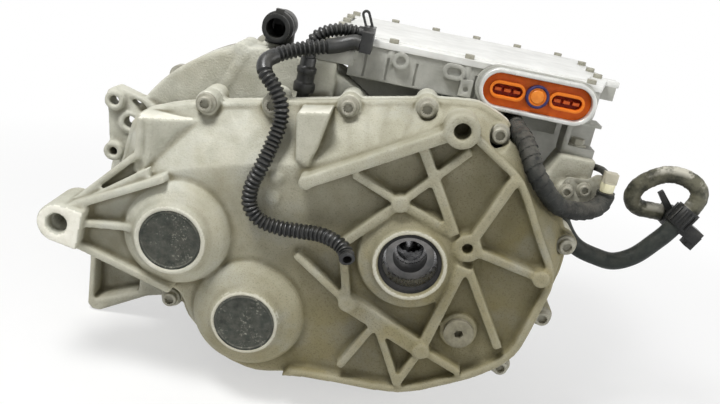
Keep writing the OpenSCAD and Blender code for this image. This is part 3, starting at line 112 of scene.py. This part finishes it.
def reach_at(run, reach, point):
    """How far along a run the given point lies."""
    return reach[np.linalg.norm(run - np.array(point), axis=1).argmin()]


def store(mesh, name, values):
    """Keeps one number from 0 to 1 for each point of a mesh."""
    kept = mesh.attributes.new(name, "FLOAT", "POINT")
    kept.data.foreach_set("value", np.clip(values, 0, 1).astype(np.float32))


def tube(name, run, reach, radius_at, sides, mouth=0.0):
    """A tube along a run. radius_at(reach, turn) is its radius, and a mouth leaves its end hollow to that depth."""
    along = np.gradient(run, axis=0)
    along /= np.linalg.norm(along, axis=1)[:, None]
    across = np.cross(along[0], [0.3, 0.2, 1.0])
    turns = np.arange(sides) / sides
    points, shares, faces = [], [], []

    def ring(centre, way, radii, share):
        over = np.cross(way, across)
        for angle, radius in zip(2 * math.pi * turns, radii):
            points.append(centre + radius * (across * math.cos(angle) + over * math.sin(angle)))
            shares.append(share)

    for centre, way, far in zip(run, along, reach):
        across = across - way * np.dot(across, way)
        across /= np.linalg.norm(across)
        radii = np.array([radius_at(far, turn) for turn in turns])
        ring(centre, way, radii, far / reach[-1])
    if mouth:
        for inset, back in ((0.74, 0.0), (0.70, mouth)):
            ring(run[-1] - along[-1] * back, along[-1], radii * inset, 1.0)
    for first in range(0, len(points) - sides, sides):
        for k in range(sides):
            n = (k + 1) % sides
            faces.append((first + k, first + n, first + sides + n, first + sides + k))
    faces.append(tuple(range(sides))[::-1])
    faces.append(tuple(range(len(points) - sides, len(points))))
    mesh = bpy.data.meshes.new(name)
    mesh.from_pydata([tuple(point) for point in points], [], faces)
    mesh.shade_smooth()
    store(mesh, "lengthwise", shares)
    made = bpy.data.objects.new(name, mesh)
    scene.collection.objects.link(made)
    return made


def add(tree, kind, inputs=None, **settings):
    """A new shader node with its settings, and its inputs set or linked."""
    made = tree.nodes.new(kind)
    for key, value in settings.items():
        setattr(made, key, value)
    for key, value in (inputs or {}).items():
        if isinstance(value, bpy.types.NodeSocket):
            tree.links.new(value, made.inputs[key])
        else:
            made.inputs[key].default_value = value
    return made


def stretch(tree, value, low, high, least=0.0, most=1.0):
    """A value spread out so that low becomes least and high becomes most."""
    spread = {"Value": value, "From Min": low, "From Max": high, "To Min": least, "To Max": most}
    return add(tree, "ShaderNodeMapRange", spread).outputs["Result"]


def speckle(tree, scale, low, high, detail=4.0):
    """Noise over the object's own space, spread so that low becomes 0 and high becomes 1."""
    place = add(tree, "ShaderNodeTexCoord").outputs["Object"]
    grain = {"Vector": place, "Scale": scale, "Detail": detail, "Roughness": 0.6}
    return stretch(tree, add(tree, "ShaderNodeTexNoise", grain).outputs["Fac"], low, high)


def times(tree, one, other):
    """The product of two values."""
    return add(tree, "ShaderNodeMath", {0: one, 1: other}, operation="MULTIPLY").outputs[0]


def tint(tree, share, under, over):
    """Colour over laid on colour under by a share from 0 to 1."""
    made = add(tree, "ShaderNodeMix", {0: share}, data_type="RGBA")
    for key, value in ((6, under), (7, over)):
        if isinstance(value, bpy.types.NodeSocket):
            tree.links.new(value, made.inputs[key])
        else:
            made.inputs[key].default_value = (*value, 1.0)
    return made.outputs[2]


def facing_up(tree, low, high):
    """1 on faces that look up, where dust settles, and 0 on those that look down."""
    normal = add(tree, "ShaderNodeNewGeometry").outputs["Normal"]
    return stretch(tree, add(tree, "ShaderNodeSeparateXYZ", {0: normal}).outputs["Z"], low, high)


def coat(name, dark, light, rough, metal=0.0, patch=70.0, grit=900.0, relief=0.15, dust=0.0, mirror=0.5):
    """A finish with patches between two colours, uneven gloss, a fine relief and dust on what faces up."""
    dust_tan = (0.36, 0.33, 0.27)
    made = bpy.data.materials.new(name)
    made.use_nodes = True
    tree = made.node_tree
    shader = tree.nodes["Principled BSDF"]
    shader.inputs["Metallic"].default_value = metal
    shader.inputs["Specular IOR Level"].default_value = mirror
    colour = tint(tree, speckle(tree, patch, 0.36, 0.64), dark, light)
    if dust:
        settled = times(tree, facing_up(tree, -0.3, 0.9), speckle(tree, patch * 1.7, 0.34, 0.62))
        colour = tint(tree, times(tree, settled, dust), colour, dust_tan)
    tree.links.new(colour, shader.inputs["Base Color"])
    worn = speckle(tree, patch * 3, 0.3, 0.7)
    gloss = stretch(tree, worn, 0.0, 1.0, rough - 0.08, min(1.0, rough + 0.1))
    tree.links.new(gloss, shader.inputs["Roughness"])
    height = speckle(tree, grit, 0.25, 0.75, 2.0)
    bump = add(tree, "ShaderNodeBump", {"Height": height, "Strength": relief, "Distance": 0.0006})
    tree.links.new(bump.outputs["Normal"], shader.inputs["Normal"])
    return made


def wear(made, *pieces):
    """Gives each piece this finish alone."""
    for piece in pieces:
        piece = cad[piece] if isinstance(piece, str) else piece
        piece.data.materials.clear()
        piece.data.materials.append(made)


def ribbed(radius, reach):
    """The radius of a corrugated tube at a reach: flat-topped ribs with grooves between them."""
    wave = 0.5 + 0.5 * math.cos(2 * math.pi * reach / rib_pitch)
    return radius * (1 - rib_depth + rib_depth * min(1.0, 1.4 * wave))


hose_run, hose_reach = smooth_run(hose_points, rib_pitch / 8)
hose_bend = reach_at(hose_run, hose_reach, hose_bend_point)


def hose_radius(reach, turn):
    """Ribs, apart from the two smooth lengths."""
    smooth = reach < hose_cuff or abs(reach - hose_bend) < hose_bend_half
    return hose_r if smooth else ribbed(hose_r, reach)


hose = tube("breather_hose_ribbed", hose_run, hose_reach, hose_radius, rib_sides, hose_mouth)
hose.data.set_sharp_from_angle(angle=rib_edge)
hose_black = coat("hose_black", (0.008, 0.009, 0.009), (0.017, 0.018, 0.018), 0.33, dust=0.10, mirror=0.42)
wear(hose_black, hose)
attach(hose, "housing")
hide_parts("breather_hose")


# Power lead: a thick rubber-sheathed cable from the gland low at the right. Past the ribbed collar its loop is a
# dirty grey sheath with pale patches, and it ends in a black plastic connector that hangs inside the loop.
lead_r = 0.009
lead_step = 0.0016
lead_sides = 28
lead_points = [
    (0.138, 0.166, 0.064), (0.138, 0.158, 0.064), (0.142, 0.146, 0.054), (0.150, 0.132, 0.037),
    (0.161, 0.122, 0.020), (0.175, 0.120, 0.009), (0.194, 0.119, 0.004), (0.214, 0.118, 0.003),
    (0.233, 0.117, 0.014), (0.248, 0.115, 0.034), (0.258, 0.114, 0.050), (0.274, 0.114, 0.082),
    (0.272, 0.116, 0.097), (0.258, 0.121, 0.104), (0.242, 0.125, 0.103), (0.229, 0.130, 0.094),
    (0.220, 0.134, 0.082), (0.219, 0.137, 0.069), (0.228, 0.139, 0.060), (0.243, 0.140, 0.059),
    (0.254, 0.140, 0.059),
]
collar_point = lead_points[11]
collar_length = 0.016
lead_run, lead_reach = smooth_run(lead_points, lead_step)
sleeve_from = reach_at(lead_run, lead_reach, collar_point) - collar_length


def lead_radius(reach, turn):
    """Smooth rubber first, then a sheath with soft wrinkles."""
    if reach < sleeve_from:
        return lead_r
    wrinkle = math.sin(900 * reach + 2 * math.sin(2 * math.pi * turn)) * math.sin(260 * reach)
    return lead_r * (0.965 + 0.03 * wrinkle)


def layers(made):
    """The node tree of a finish, its shader and its colour so far, to lay more colour over it."""
    shader = made.node_tree.nodes["Principled BSDF"]
    return made.node_tree, shader, shader.inputs["Base Color"].links[0].from_socket


def stored(tree, name):
    """The number that a mesh keeps under this name."""
    return add(tree, "ShaderNodeAttribute", attribute_name=name).outputs["Fac"]


lead = tube("power_lead_sleeved", lead_run, lead_reach, lead_radius, lead_sides)
lead_rubber = coat("lead_rubber", (0.013, 0.017, 0.015), (0.026, 0.031, 0.027), 0.50, dust=0.10, mirror=0.25)
tree, shader, rubber = layers(lead_rubber)
sleeve_share = float(sleeve_from / lead_reach[-1])
sleeve = stretch(tree, stored(tree, "lengthwise"), sleeve_share, sleeve_share + 0.004)
sheath = tint(tree, speckle(tree, 70.0, 0.40, 0.60), (0.036, 0.036, 0.025), (0.12, 0.115, 0.08))
faded = times(tree, facing_up(tree, 0.1, 0.7), speckle(tree, 38.0, 0.43, 0.51))
sheath = tint(tree, faded, sheath, (0.50, 0.48, 0.40))
tree.links.new(tint(tree, sleeve, rubber, sheath), shader.inputs["Base Color"])
wear(lead_rubber, lead)
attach(lead, "housing")
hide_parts("power_lead")


# Gland and connector of the lead: black glass-filled nylon, injection moulded with eased edges. The gland is
# screwed into the housing, and the connector is clipped round the lead's end.
def ease(width, *nodes, segments=2):
    """Rounds the sharp edges of moulded, cast or turned pieces."""
    for node in nodes:
        piece = cad[node]
        weld = piece.modifiers.new("weld", "WELD")
        weld.merge_threshold = 0.00001
        bevel = piece.modifiers.new("ease", "BEVEL")
        bevel.width = width
        bevel.segments = segments
        bevel.limit_method = "ANGLE"
        bevel.angle_limit = math.radians(32)
        bevel.use_clamp_overlap = True
        bevel.harden_normals = True
        piece.data.shade_smooth()


satin_black = coat("satin_black", (0.010, 0.011, 0.011), (0.020, 0.021, 0.021), 0.40, dust=0.12, mirror=0.25)
ease(0.0006, "lead_gland", "lead_plug")
wear(satin_black, "lead_gland", "lead_plug")


# Breather link, clip and fitting: a short length of the same ribbed tube runs from the upright fitting on the
# bell to the moulded clip, where the long hose starts. Both ends are smooth cuffs, pushed in.
link_r = 0.0064
link_cuff = 0.004
link_points = [
    (-0.131, 0.088, 0.152), (-0.131, 0.088, 0.162), (-0.127, 0.089, 0.172), (-0.116, 0.092, 0.1795),
    (-0.102, 0.095, 0.183), (-0.094, 0.095, 0.183), (-0.0853, 0.095, 0.183),
]
link_run, link_reach = smooth_run(link_points, rib_pitch / 8)


def link_radius(reach, turn):
    """Ribs along the whole length, apart from the two cuffs."""
    return link_r if min(reach, link_reach[-1] - reach) < link_cuff else ribbed(link_r, reach)


link = tube("breather_link_ribbed", link_run, link_reach, link_radius, rib_sides)
link.data.set_sharp_from_angle(angle=rib_edge)
wear(hose_black, link)
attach(link, "housing")
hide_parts("breather_link")
ease(0.0005, "hose_joint", "breather_fitting")
wear(hose_black, "hose_joint", "breather_fitting")


# Signal harness: a bundle of wires wound with black cloth tape, each turn lapped over the last, from below the
# inverter to its plug. A thin taped lead goes on from the back of the plug to the housing.
harness_r = 0.0092
harness_step = 0.0008
harness_sides = 28
tape_lap = 0.008
tape_edge = math.radians(28)
harness_points = [
    (0.0755, 0.1237, 0.127), (0.0755, 0.108, 0.127), (0.0755, 0.088, 0.127), (0.0755, 0.062, 0.127),
    (0.077, 0.048, 0.1265), (0.0805, 0.037, 0.122), (0.085, 0.027, 0.1135), (0.091, 0.021, 0.103),
    (0.102, 0.022, 0.091), (0.113, 0.031, 0.080), (0.125, 0.041, 0.071), (0.137, 0.048, 0.068),
    (0.149, 0.055, 0.067), (0.160, 0.061, 0.069), (0.168, 0.067, 0.074), (0.171, 0.071, 0.080),
    (0.171, 0.071, 0.086),
]
harness_run, harness_reach = smooth_run(harness_points, harness_step)


def harness_radius(reach, turn):
    """Tape laps that climb and drop once a turn, on a slightly lumpy bundle."""
    lap = (reach / tape_lap - turn + 0.06 * math.sin(310 * reach)) % 1.0
    lump = 0.5 * math.sin(210 * reach) + 0.5 * math.sin(93 * reach + 2 * math.pi * turn)
    return harness_r * (0.88 + 0.10 * lap + 0.02 * lump)


harness = tube("signal_harness_taped", harness_run, harness_reach, harness_radius, harness_sides)
harness.data.set_sharp_from_angle(angle=tape_edge)
tape = coat(
    "cloth_tape", (0.010, 0.011, 0.010), (0.025, 0.027, 0.024), 0.58,
    grit=1900.0, relief=0.4, dust=0.2, mirror=0.25,
)
wear(tape, harness)
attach(harness, "housing")
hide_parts("signal_harness")

sensor_r = 0.0034
sensor_step = 0.0012
sensor_points = [
    (0.168, 0.0763, 0.1015), (0.168, 0.084, 0.1015), (0.168, 0.093, 0.101), (0.1675, 0.101, 0.100),
    (0.1655, 0.1055, 0.0995), (0.163, 0.107, 0.0995), (0.1603, 0.107, 0.0995),
]
sensor_run, sensor_reach = smooth_run(sensor_points, sensor_step)
sensor = tube("sensor_lead", sensor_run, sensor_reach, lambda reach, turn: sensor_r, 16)
wear(tape, sensor)
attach(sensor, "housing")
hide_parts("signal_harness")


# Gear cover: sand-cast aluminium, bolted to the housing's flange, so every edge is round and every corner is
# filled. Faces that the miller has touched are bright. Hollows are darkened with tan dirt and painted shade, edges
# are paler as worn metal and painted highlight, and the right and lower parts are darker with tan dirt and
# painted shade.
ring_face_r = 0.0352
lug_x, lug_z, lug_face_r = -0.32313, -0.02845, 0.034
cap_seat_out, cap_seat_half = 0.002, 0.0023


def cast_skin(node, voxel, rounds, keep):
    """A copy of a casting with the round edges and filled corners that a mould leaves."""
    skin = bpy.data.objects.new(node + "_cast", cad[node].data.copy())
    scene.collection.objects.link(skin)
    weld = skin.modifiers.new("weld", "WELD")
    weld.merge_threshold = 0.00001
    remesh = skin.modifiers.new("remesh", "REMESH")
    remesh.mode = "VOXEL"
    remesh.voxel_size = voxel
    soften = skin.modifiers.new("soften", "SMOOTH")
    soften.factor = 0.5
    soften.iterations = rounds
    thin = skin.modifiers.new("thin", "DECIMATE")
    thin.ratio = keep
    made = bpy.data.meshes.new_from_object(skin.evaluated_get(bpy.context.evaluated_depsgraph_get()))
    skin.modifiers.clear()
    skin.data = made
    made.shade_smooth()
    return skin


def rows(owner, name, width, kind=float):
    """One row of numbers for each point or edge of a mesh."""
    values = np.empty(len(owner) * width, kind)
    owner.foreach_get(name, values)
    return values.reshape(-1, width)


def hollows(mesh, rounds):
    """Each point's place, its normal, and how far it lies below (+) the smoothed surface round it, in metres."""
    count = len(mesh.vertices)
    place = rows(mesh.vertices, "co", 3)
    normal = rows(mesh.vertices, "normal", 3)
    start, end = rows(mesh.edges, "vertices", 2, np.int64).T
    neighbours = np.bincount(start, minlength=count) + np.bincount(end, minlength=count)
    flat = place.copy()
    for _ in range(rounds):
        for axis in range(3):
            total = np.bincount(start, flat[end, axis], count) + np.bincount(end, flat[start, axis], count)
            flat[:, axis] = total / np.maximum(neighbours, 1)
    return place, normal, ((flat - place) * normal).sum(axis=1)


def weather(mesh, below, milled, dirt_and_shade):
    """Keeps at each point how hollow a casting is, how far out on an edge, how milled, and its share of tan dirt
    and painted shade.
    """
    store(mesh, "hollow", below / 0.0012)
    store(mesh, "worn_and_lit_edge", (-below - 0.0002) / 0.0008)
    store(mesh, "milled", milled)
    store(mesh, "dirt_and_shade", dirt_and_shade)


def cast_finish(name, dark, light, dirt_and_shade_tan, bright):
    """Sand-cast metal that reads from its mesh its hollows, its edges, its milled faces and its share of tan dirt
    and painted shade.
    """
    rust, oil = (0.33, 0.285, 0.165), (0.27, 0.285, 0.275)
    hollow_dirt_and_shade, pit = [0.5 * c for c in dirt_and_shade_tan], [0.45 * c for c in dirt_and_shade_tan]
    made = coat(name, dark, light, 0.58, patch=34.0, grit=520.0, relief=0.6, mirror=0.25)
    tree, shader, colour = layers(made)
    dirt_and_shade = stored(tree, "dirt_and_shade")
    uneven = stretch(tree, speckle(tree, 22.0, 0.35, 0.65), 0.0, 1.0, 0.80, 1.0)
    # Darker, tanner colour towards the right and the bottom: partly tan dirt, partly painted shade.
    colour = tint(tree, times(tree, dirt_and_shade, uneven), colour, dirt_and_shade_tan)
    colour = tint(tree, times(tree, speckle(tree, 13.0, 0.50, 0.68), 0.32), colour, rust)
    colour = tint(tree, times(tree, speckle(tree, 17.0, 0.54, 0.70), 0.38), colour, oil)
    # Hollows darkened: partly tan dirt, partly painted shade.
    colour = tint(tree, times(tree, stored(tree, "hollow"), 0.85), colour, hollow_dirt_and_shade)
    pitted = stretch(tree, dirt_and_shade, 0.0, 1.0, 0.12, 0.65)
    colour = tint(tree, times(tree, speckle(tree, 800.0, 0.54, 0.68), pitted), colour, pit)
    # Edges made paler: partly worn metal, partly a painted highlight.
    colour = tint(tree, times(tree, stored(tree, "worn_and_lit_edge"), 0.13), colour, bright)
    fresh = tint(tree, speckle(tree, 90.0, 0.35, 0.65), (0.80, 0.78, 0.67), (0.92, 0.90, 0.80))
    tree.links.new(tint(tree, stored(tree, "milled"), colour, fresh), shader.inputs["Base Color"])
    return made


cover = cast_skin("gear_cover", voxel=0.0014, rounds=13, keep=0.45)
place, normal, below = hollows(cover.data, 14)
x, y, z = place.T
front, upward = -normal[:, 1], normal[:, 2]
cover_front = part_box("gear_cover")[0][1]
milled = np.zeros(len(place))
for axis_x, axis_z, face_y, face_r, share in (
    (0.0, 0.0, 0.0, ring_face_r, 0.40),
    (lug_x, lug_z, cover_front, lug_face_r, 1.0),
):
    near = np.hypot(x - axis_x, z - axis_z) < face_r
    milled[near & (abs(y - face_y) < 0.0012) & (front > 0.8)] = share
for cap in ("bearing_cap_upper", "bearing_cap_lower"):
    low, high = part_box(cap)
    seat_r = (high[0] - low[0]) / 2 + cap_seat_out
    away = np.hypot(x - (low[0] + high[0]) / 2, z - (low[2] + high[2]) / 2)
    milled[(abs(away - seat_r) < cap_seat_half) & (front > 0.5)] = 0.35
post_tops = (upward > 0.9) & (y < 0.052) & (z > 0.078) & (x < -0.06)
milled[post_tops] = 0.7
# The share of tan dirt and painted shade grows towards the right and the bottom.
weather(cover.data, below, milled, dirt_and_shade=0.95 + 3.6 * x - 3.2 * z)
cover_cast = cast_finish(
    "cover_cast",
    dark=(0.425, 0.42, 0.345),
    light=(0.575, 0.57, 0.485),
    dirt_and_shade_tan=(0.215, 0.186, 0.090),
    bright=(0.62, 0.605, 0.51),
)
wear(cover_cast, cover)
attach(cover, "housing")
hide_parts("gear_cover")


# Gear housing: the same sand-cast aluminium behind the flange, with the motor's bell, the bracket and the foot
# cast on. It is a little paler than the cover, and no face of it that shows is milled.
housing = cast_skin("gear_housing", voxel=0.0016, rounds=9, keep=0.4)
place, normal, below = hollows(housing.data, 12)
# The share of tan dirt and painted shade grows towards the right and the bottom.
weather(housing.data, below, np.zeros(len(place)), dirt_and_shade=0.45 + 2.0 * place[:, 0] - 3.5 * place[:, 2])
housing_cast = cast_finish(
    "housing_cast",
    dark=(0.46, 0.455, 0.38),
    light=(0.63, 0.625, 0.54),
    dirt_and_shade_tan=(0.225, 0.20, 0.12),
    bright=(0.64, 0.625, 0.53),
)
wear(housing_cast, housing)
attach(housing, "housing")
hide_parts("gear_housing")


# Gasket, dowels and bolts of the parting face, and the drain plug: a black rubber bead laid in its groove, and
# weathered zinc-plated steel. The plug is turned, with a hexagon socket, and screwed into the cover.
seal_rubber = coat("seal_rubber", (0.012, 0.012, 0.012), (0.028, 0.027, 0.026), 0.7, mirror=0.25)
wear(seal_rubber, "cover_gasket")
plated = coat(
    "plated_steel", (0.27, 0.26, 0.205), (0.39, 0.38, 0.315), 0.5,
    metal=0.15, patch=160.0, dust=0.5, mirror=0.3,
)
ease(0.0005, "cover_bolts", "drain_plug")
wear(plated, "cover_bolts", "dowel_pins")
dull_steel = coat(
    "dull_steel", (0.155, 0.142, 0.095), (0.235, 0.218, 0.152), 0.55,
    metal=0.1, patch=160.0, dust=0.4, mirror=0.3,
)
wear(dull_steel, "drain_plug")


# Bearing caps: black plastic discs with a raised rim, pressed into the bosses over the bearings. They are
# scuffed, and pale dust sits in the scuffs.
cap_black = coat(
    "cap_black", (0.029, 0.033, 0.027), (0.048, 0.054, 0.045), 0.55, patch=90.0, dust=0.4, mirror=0.25
)
tree, shader, plastic = layers(cap_black)
scuffs = times(tree, speckle(tree, 420.0, 0.55, 0.66), speckle(tree, 45.0, 0.45, 0.62))
scuffed = tint(tree, times(tree, scuffs, 0.8), plastic, (0.34, 0.33, 0.27))
tree.links.new(scuffed, shader.inputs["Base Color"])
ease(0.0006, "bearing_cap_upper", "bearing_cap_lower", segments=3)
wear(cap_black, "bearing_cap_upper", "bearing_cap_lower")


# Motor: a die-cast case and end cover, bolted up behind the bell. Inside are the stator and rotor cores, stacked
# from steel laminations, and the copper windings.
motor_cast = coat(
    "motor_cast", (0.33, 0.32, 0.27), (0.46, 0.45, 0.39), 0.55, patch=34.0, relief=0.4, dust=0.4, mirror=0.3
)
ease(0.0012, "motor_housing", "motor_end_cover")
wear(motor_cast, "motor_housing", "motor_end_cover")
wear(plated, "end_cover_bolts", "motor_flange_bolts")
laminations = coat("laminations", (0.20, 0.20, 0.22), (0.32, 0.32, 0.34), 0.4, metal=0.8, patch=30.0)
wear(laminations, "stator_core", "rotor_core")
copper = coat("copper", (0.42, 0.16, 0.06), (0.58, 0.25, 0.10), 0.35, metal=0.85, patch=200.0)
wear(copper, "stator_windings")


# Gears, shafts and bearings: hardened and ground steel, pressed onto their shafts and into their seats. The
# differential's case is machined iron, and a rubber lip seal closes each output.
gear_steel = coat(
    "gear_steel", (0.42, 0.42, 0.43), (0.56, 0.56, 0.56), 0.28, metal=0.9, patch=120.0, relief=0.06
)
wear(gear_steel, "input_shaft", "input_pinion", "layshaft", "layshaft_wheel", "layshaft_pinion")
wear(gear_steel, "ring_gear", "cross_pin")
wear(gear_steel, "side_gear_front", "side_gear_rear", "spider_gear_upper", "spider_gear_lower")
for shaft in ("motor", "layshaft", "diff"):
    wear(gear_steel, shaft + "_bearing_outers", shaft + "_bearing_inners")
case_iron = coat("case_iron", (0.17, 0.17, 0.17), (0.29, 0.28, 0.27), 0.5, metal=0.7, patch=60.0)
wear(case_iron, "diff_case")
wear(seal_rubber, "output_seal_front", "output_seal_rear")


# Inverter: a die-cast case bolted on top, with a bright milled lid held by screws round its edge. Inside are the
# capacitor and power module, cast in resin, and the green control board.
inverter_cast = coat(
    "inverter_cast", (0.33, 0.33, 0.297), (0.44, 0.44, 0.40), 0.5,
    patch=45.0, relief=0.3, dust=0.25, mirror=0.35,
)
ease(0.0012, "inverter_case")
wear(inverter_cast, "inverter_case")
lid_bright = coat("lid_bright", (0.62, 0.62, 0.59), (0.74, 0.74, 0.71), 0.40, metal=0.1, patch=30.0, relief=0.08)
ease(0.0012, "inverter_lid", segments=3)
wear(lid_bright, "inverter_lid")
ease(0.0005, "lid_screws", "inverter_bolts")
wear(plated, "lid_screws", "inverter_bolts")
resin = coat("resin", (0.014, 0.014, 0.014), (0.03, 0.03, 0.03), 0.4)
wear(resin, "dc_capacitor", "power_module")
board = coat("board", (0.01, 0.09, 0.03), (0.015, 0.13, 0.045), 0.4, patch=220.0)
wear(board, "control_board")


# High-voltage socket: a bright cast oval shell on the inverter's front, an orange moulded insert with two slots
# and their blades, and a violet ring with an orange cap over the lock.
shell_cast = coat("shell_cast", (0.52, 0.52, 0.49), (0.64, 0.64, 0.61), 0.34, metal=0.45, patch=90.0)
ease(0.0008, "hv_shell", segments=3)
wear(shell_cast, "hv_shell")


def along_axis(tree, axis):
    """Where a point lies along one axis of the unit, in metres."""
    place = add(tree, "ShaderNodeTexCoord").outputs["Object"]
    return add(tree, "ShaderNodeSeparateXYZ", {0: place}).outputs[axis]


orange = coat(
    "orange", (0.58, 0.092, 0.006), (0.67, 0.122, 0.009), 0.42, patch=110.0, relief=0.05, mirror=0.22
)
tree, shader, plastic = layers(orange)
insert_front = float(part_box("hv_insert")[0][1])
depth = along_axis(tree, "Y")
# Painted light on the insert: a painted highlight on the rims, and painted shade growing deeper in the slots.
painted_rim_light = stretch(tree, depth, insert_front + 0.0035, insert_front + 0.0015)
painted_slot_shade = stretch(tree, depth, insert_front + 0.0055, insert_front + 0.0095)
orange_painted_lit = tint(tree, times(tree, painted_rim_light, 0.8), plastic, (0.84, 0.23, 0.022))
tree.links.new(tint(tree, painted_slot_shade, orange_painted_lit, (0.34, 0.030, 0.006)), shader.inputs["Base Color"])
ease(0.0006, "hv_insert")
wear(orange, "hv_insert")
contact = coat("contact", (0.46, 0.075, 0.010), (0.58, 0.115, 0.018), 0.38, metal=0.1, mirror=0.3)
wear(contact, "hv_contacts")
violet = coat("violet", (0.022, 0.016, 0.075), (0.038, 0.030, 0.115), 0.4, patch=120.0, relief=0.05, mirror=0.3)
ease(0.0005, "hv_lock_ring")
wear(violet, "hv_lock_ring")
cap_orange = coat(
    "cap_orange", (0.74, 0.21, 0.022), (0.84, 0.28, 0.035), 0.34, patch=140.0, relief=0.05, mirror=0.35
)
ease(0.0006, "hv_lock_cap", segments=3)
wear(cap_orange, "hv_lock_cap")


# Coolant elbow: black glass-filled nylon, moulded in one piece and pushed over a bright spigot that is turned
# from steel and screwed into the bell.
ease(0.0006, "coolant_elbow")
wear(satin_black, "coolant_elbow")
spigot = coat("spigot", (0.52, 0.52, 0.51), (0.62, 0.62, 0.61), 0.3, metal=0.85, patch=140.0, relief=0.05)
wear(spigot, "coolant_stub")


# Plug of the harness: a cream moulded sleeve under a tan block, clipped to a bent sheet-steel bracket that two
# bolts hold to the housing.
block_height = 0.0103
cream = coat("cream", (0.70, 0.66, 0.43), (0.80, 0.76, 0.54), 0.48, patch=120.0, relief=0.06, dust=0.1)
tree, shader, plastic = layers(cream)
block_base = float(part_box("harness_plug")[1][2]) - block_height
block = stretch(tree, along_axis(tree, "Z"), block_base, block_base + 0.0003)
tree.links.new(tint(tree, block, plastic, (0.42, 0.39, 0.30)), shader.inputs["Base Color"])
ease(0.0006, "harness_plug")
wear(cream, "harness_plug")
ease(0.0005, "harness_bracket", "bracket_bolts")
wear(plated, "harness_bracket", "bracket_bolts")


# Stage: a pale paper floor that fades to white, with soft light from above, the front left and the right. What is
# seen straight or mirrored meets plain white all round, and the floor keeps the shadow.
floor_r = 8.0
floor_corners = 32
floor_gap = 0.0006
ground = cad_bounds[0][2] - floor_gap
corner_angles = [2 * math.pi * k / floor_corners for k in range(floor_corners)]
floor_edge = [(floor_r * math.cos(a), floor_r * math.sin(a), ground) for a in corner_angles]
floor_mesh = bpy.data.meshes.new("floor")
floor_mesh.from_pydata(floor_edge, [], [tuple(range(floor_corners))])
floor = bpy.data.objects.new("floor", floor_mesh)
scene.collection.objects.link(floor)


def seen(tree):
    """1 for what the eye sees straight, mirrored or through glass, and 0 for light that only bounces."""
    path = add(tree, "ShaderNodeLightPath").outputs
    rays = add(tree, "ShaderNodeMath", {0: path["Is Camera Ray"], 1: path["Is Glossy Ray"]}, operation="ADD")
    rays = {0: rays.outputs[0], 1: path["Is Transmission Ray"]}
    return add(tree, "ShaderNodeMath", rays, operation="ADD", use_clamp=True).outputs[0]


floor_white = bpy.data.materials.new("floor_white")
floor_white.use_nodes = True
tree = floor_white.node_tree
shader = tree.nodes["Principled BSDF"]
shader.inputs["Roughness"].default_value = 0.9
paper = tint(tree, speckle(tree, 3.0, 0.3, 0.7), (0.88, 0.88, 0.87), (0.92, 0.92, 0.91))
tree.links.new(paper, shader.inputs["Base Color"])
place = add(tree, "ShaderNodeTexCoord").outputs["Object"]
away = add(tree, "ShaderNodeVectorMath", {0: place}, operation="LENGTH").outputs["Value"]
fade = times(tree, seen(tree), stretch(tree, away, 0.25, 1.1, 0.55, 1.0))
white = add(tree, "ShaderNodeEmission", {"Color": (1, 1, 1, 1), "Strength": 1.0})
faded = add(tree, "ShaderNodeMixShader", {0: fade, 1: shader.outputs[0], 2: white.outputs[0]})
tree.links.new(faded.outputs[0], tree.nodes["Material Output"].inputs["Surface"])
floor_mesh.materials.append(floor_white)


def soft_light(name, place, aim_at, size, watts):
    """A square panel of light that looks at a point."""
    panel = bpy.data.lights.new(name, "AREA")
    panel.size = size
    panel.energy = watts
    made = bpy.data.objects.new(name, panel)
    made.location = place
    made.rotation_euler = (Vector(aim_at) - Vector(place)).to_track_quat("-Z", "Y").to_euler()
    scene.collection.objects.link(made)


soft_light("key", (-0.55, -0.40, 1.35), (-0.05, 0.05, 0.0), 0.45, 22)
soft_light("top", (0.4, 0.9, 1.6), (0.0, 0.1, 0.0), 1.4, 4)
soft_light("fill", (0.5, -1.5, 0.8), (0.0, 0.05, 0.0), 1.0, 3.6)
soft_light("side", (1.3, -0.45, 0.45), (0.12, 0.10, 0.08), 0.7, 6.5)
world = bpy.data.worlds.new("studio")
scene.world = world
world.use_nodes = True
tree = world.node_tree
tree.nodes["Background"].inputs["Color"].default_value = (1, 1, 1, 1)
tree.links.new(stretch(tree, seen(tree), 0.0, 1.0, 0.18, 1.0), tree.nodes["Background"].inputs["Strength"])
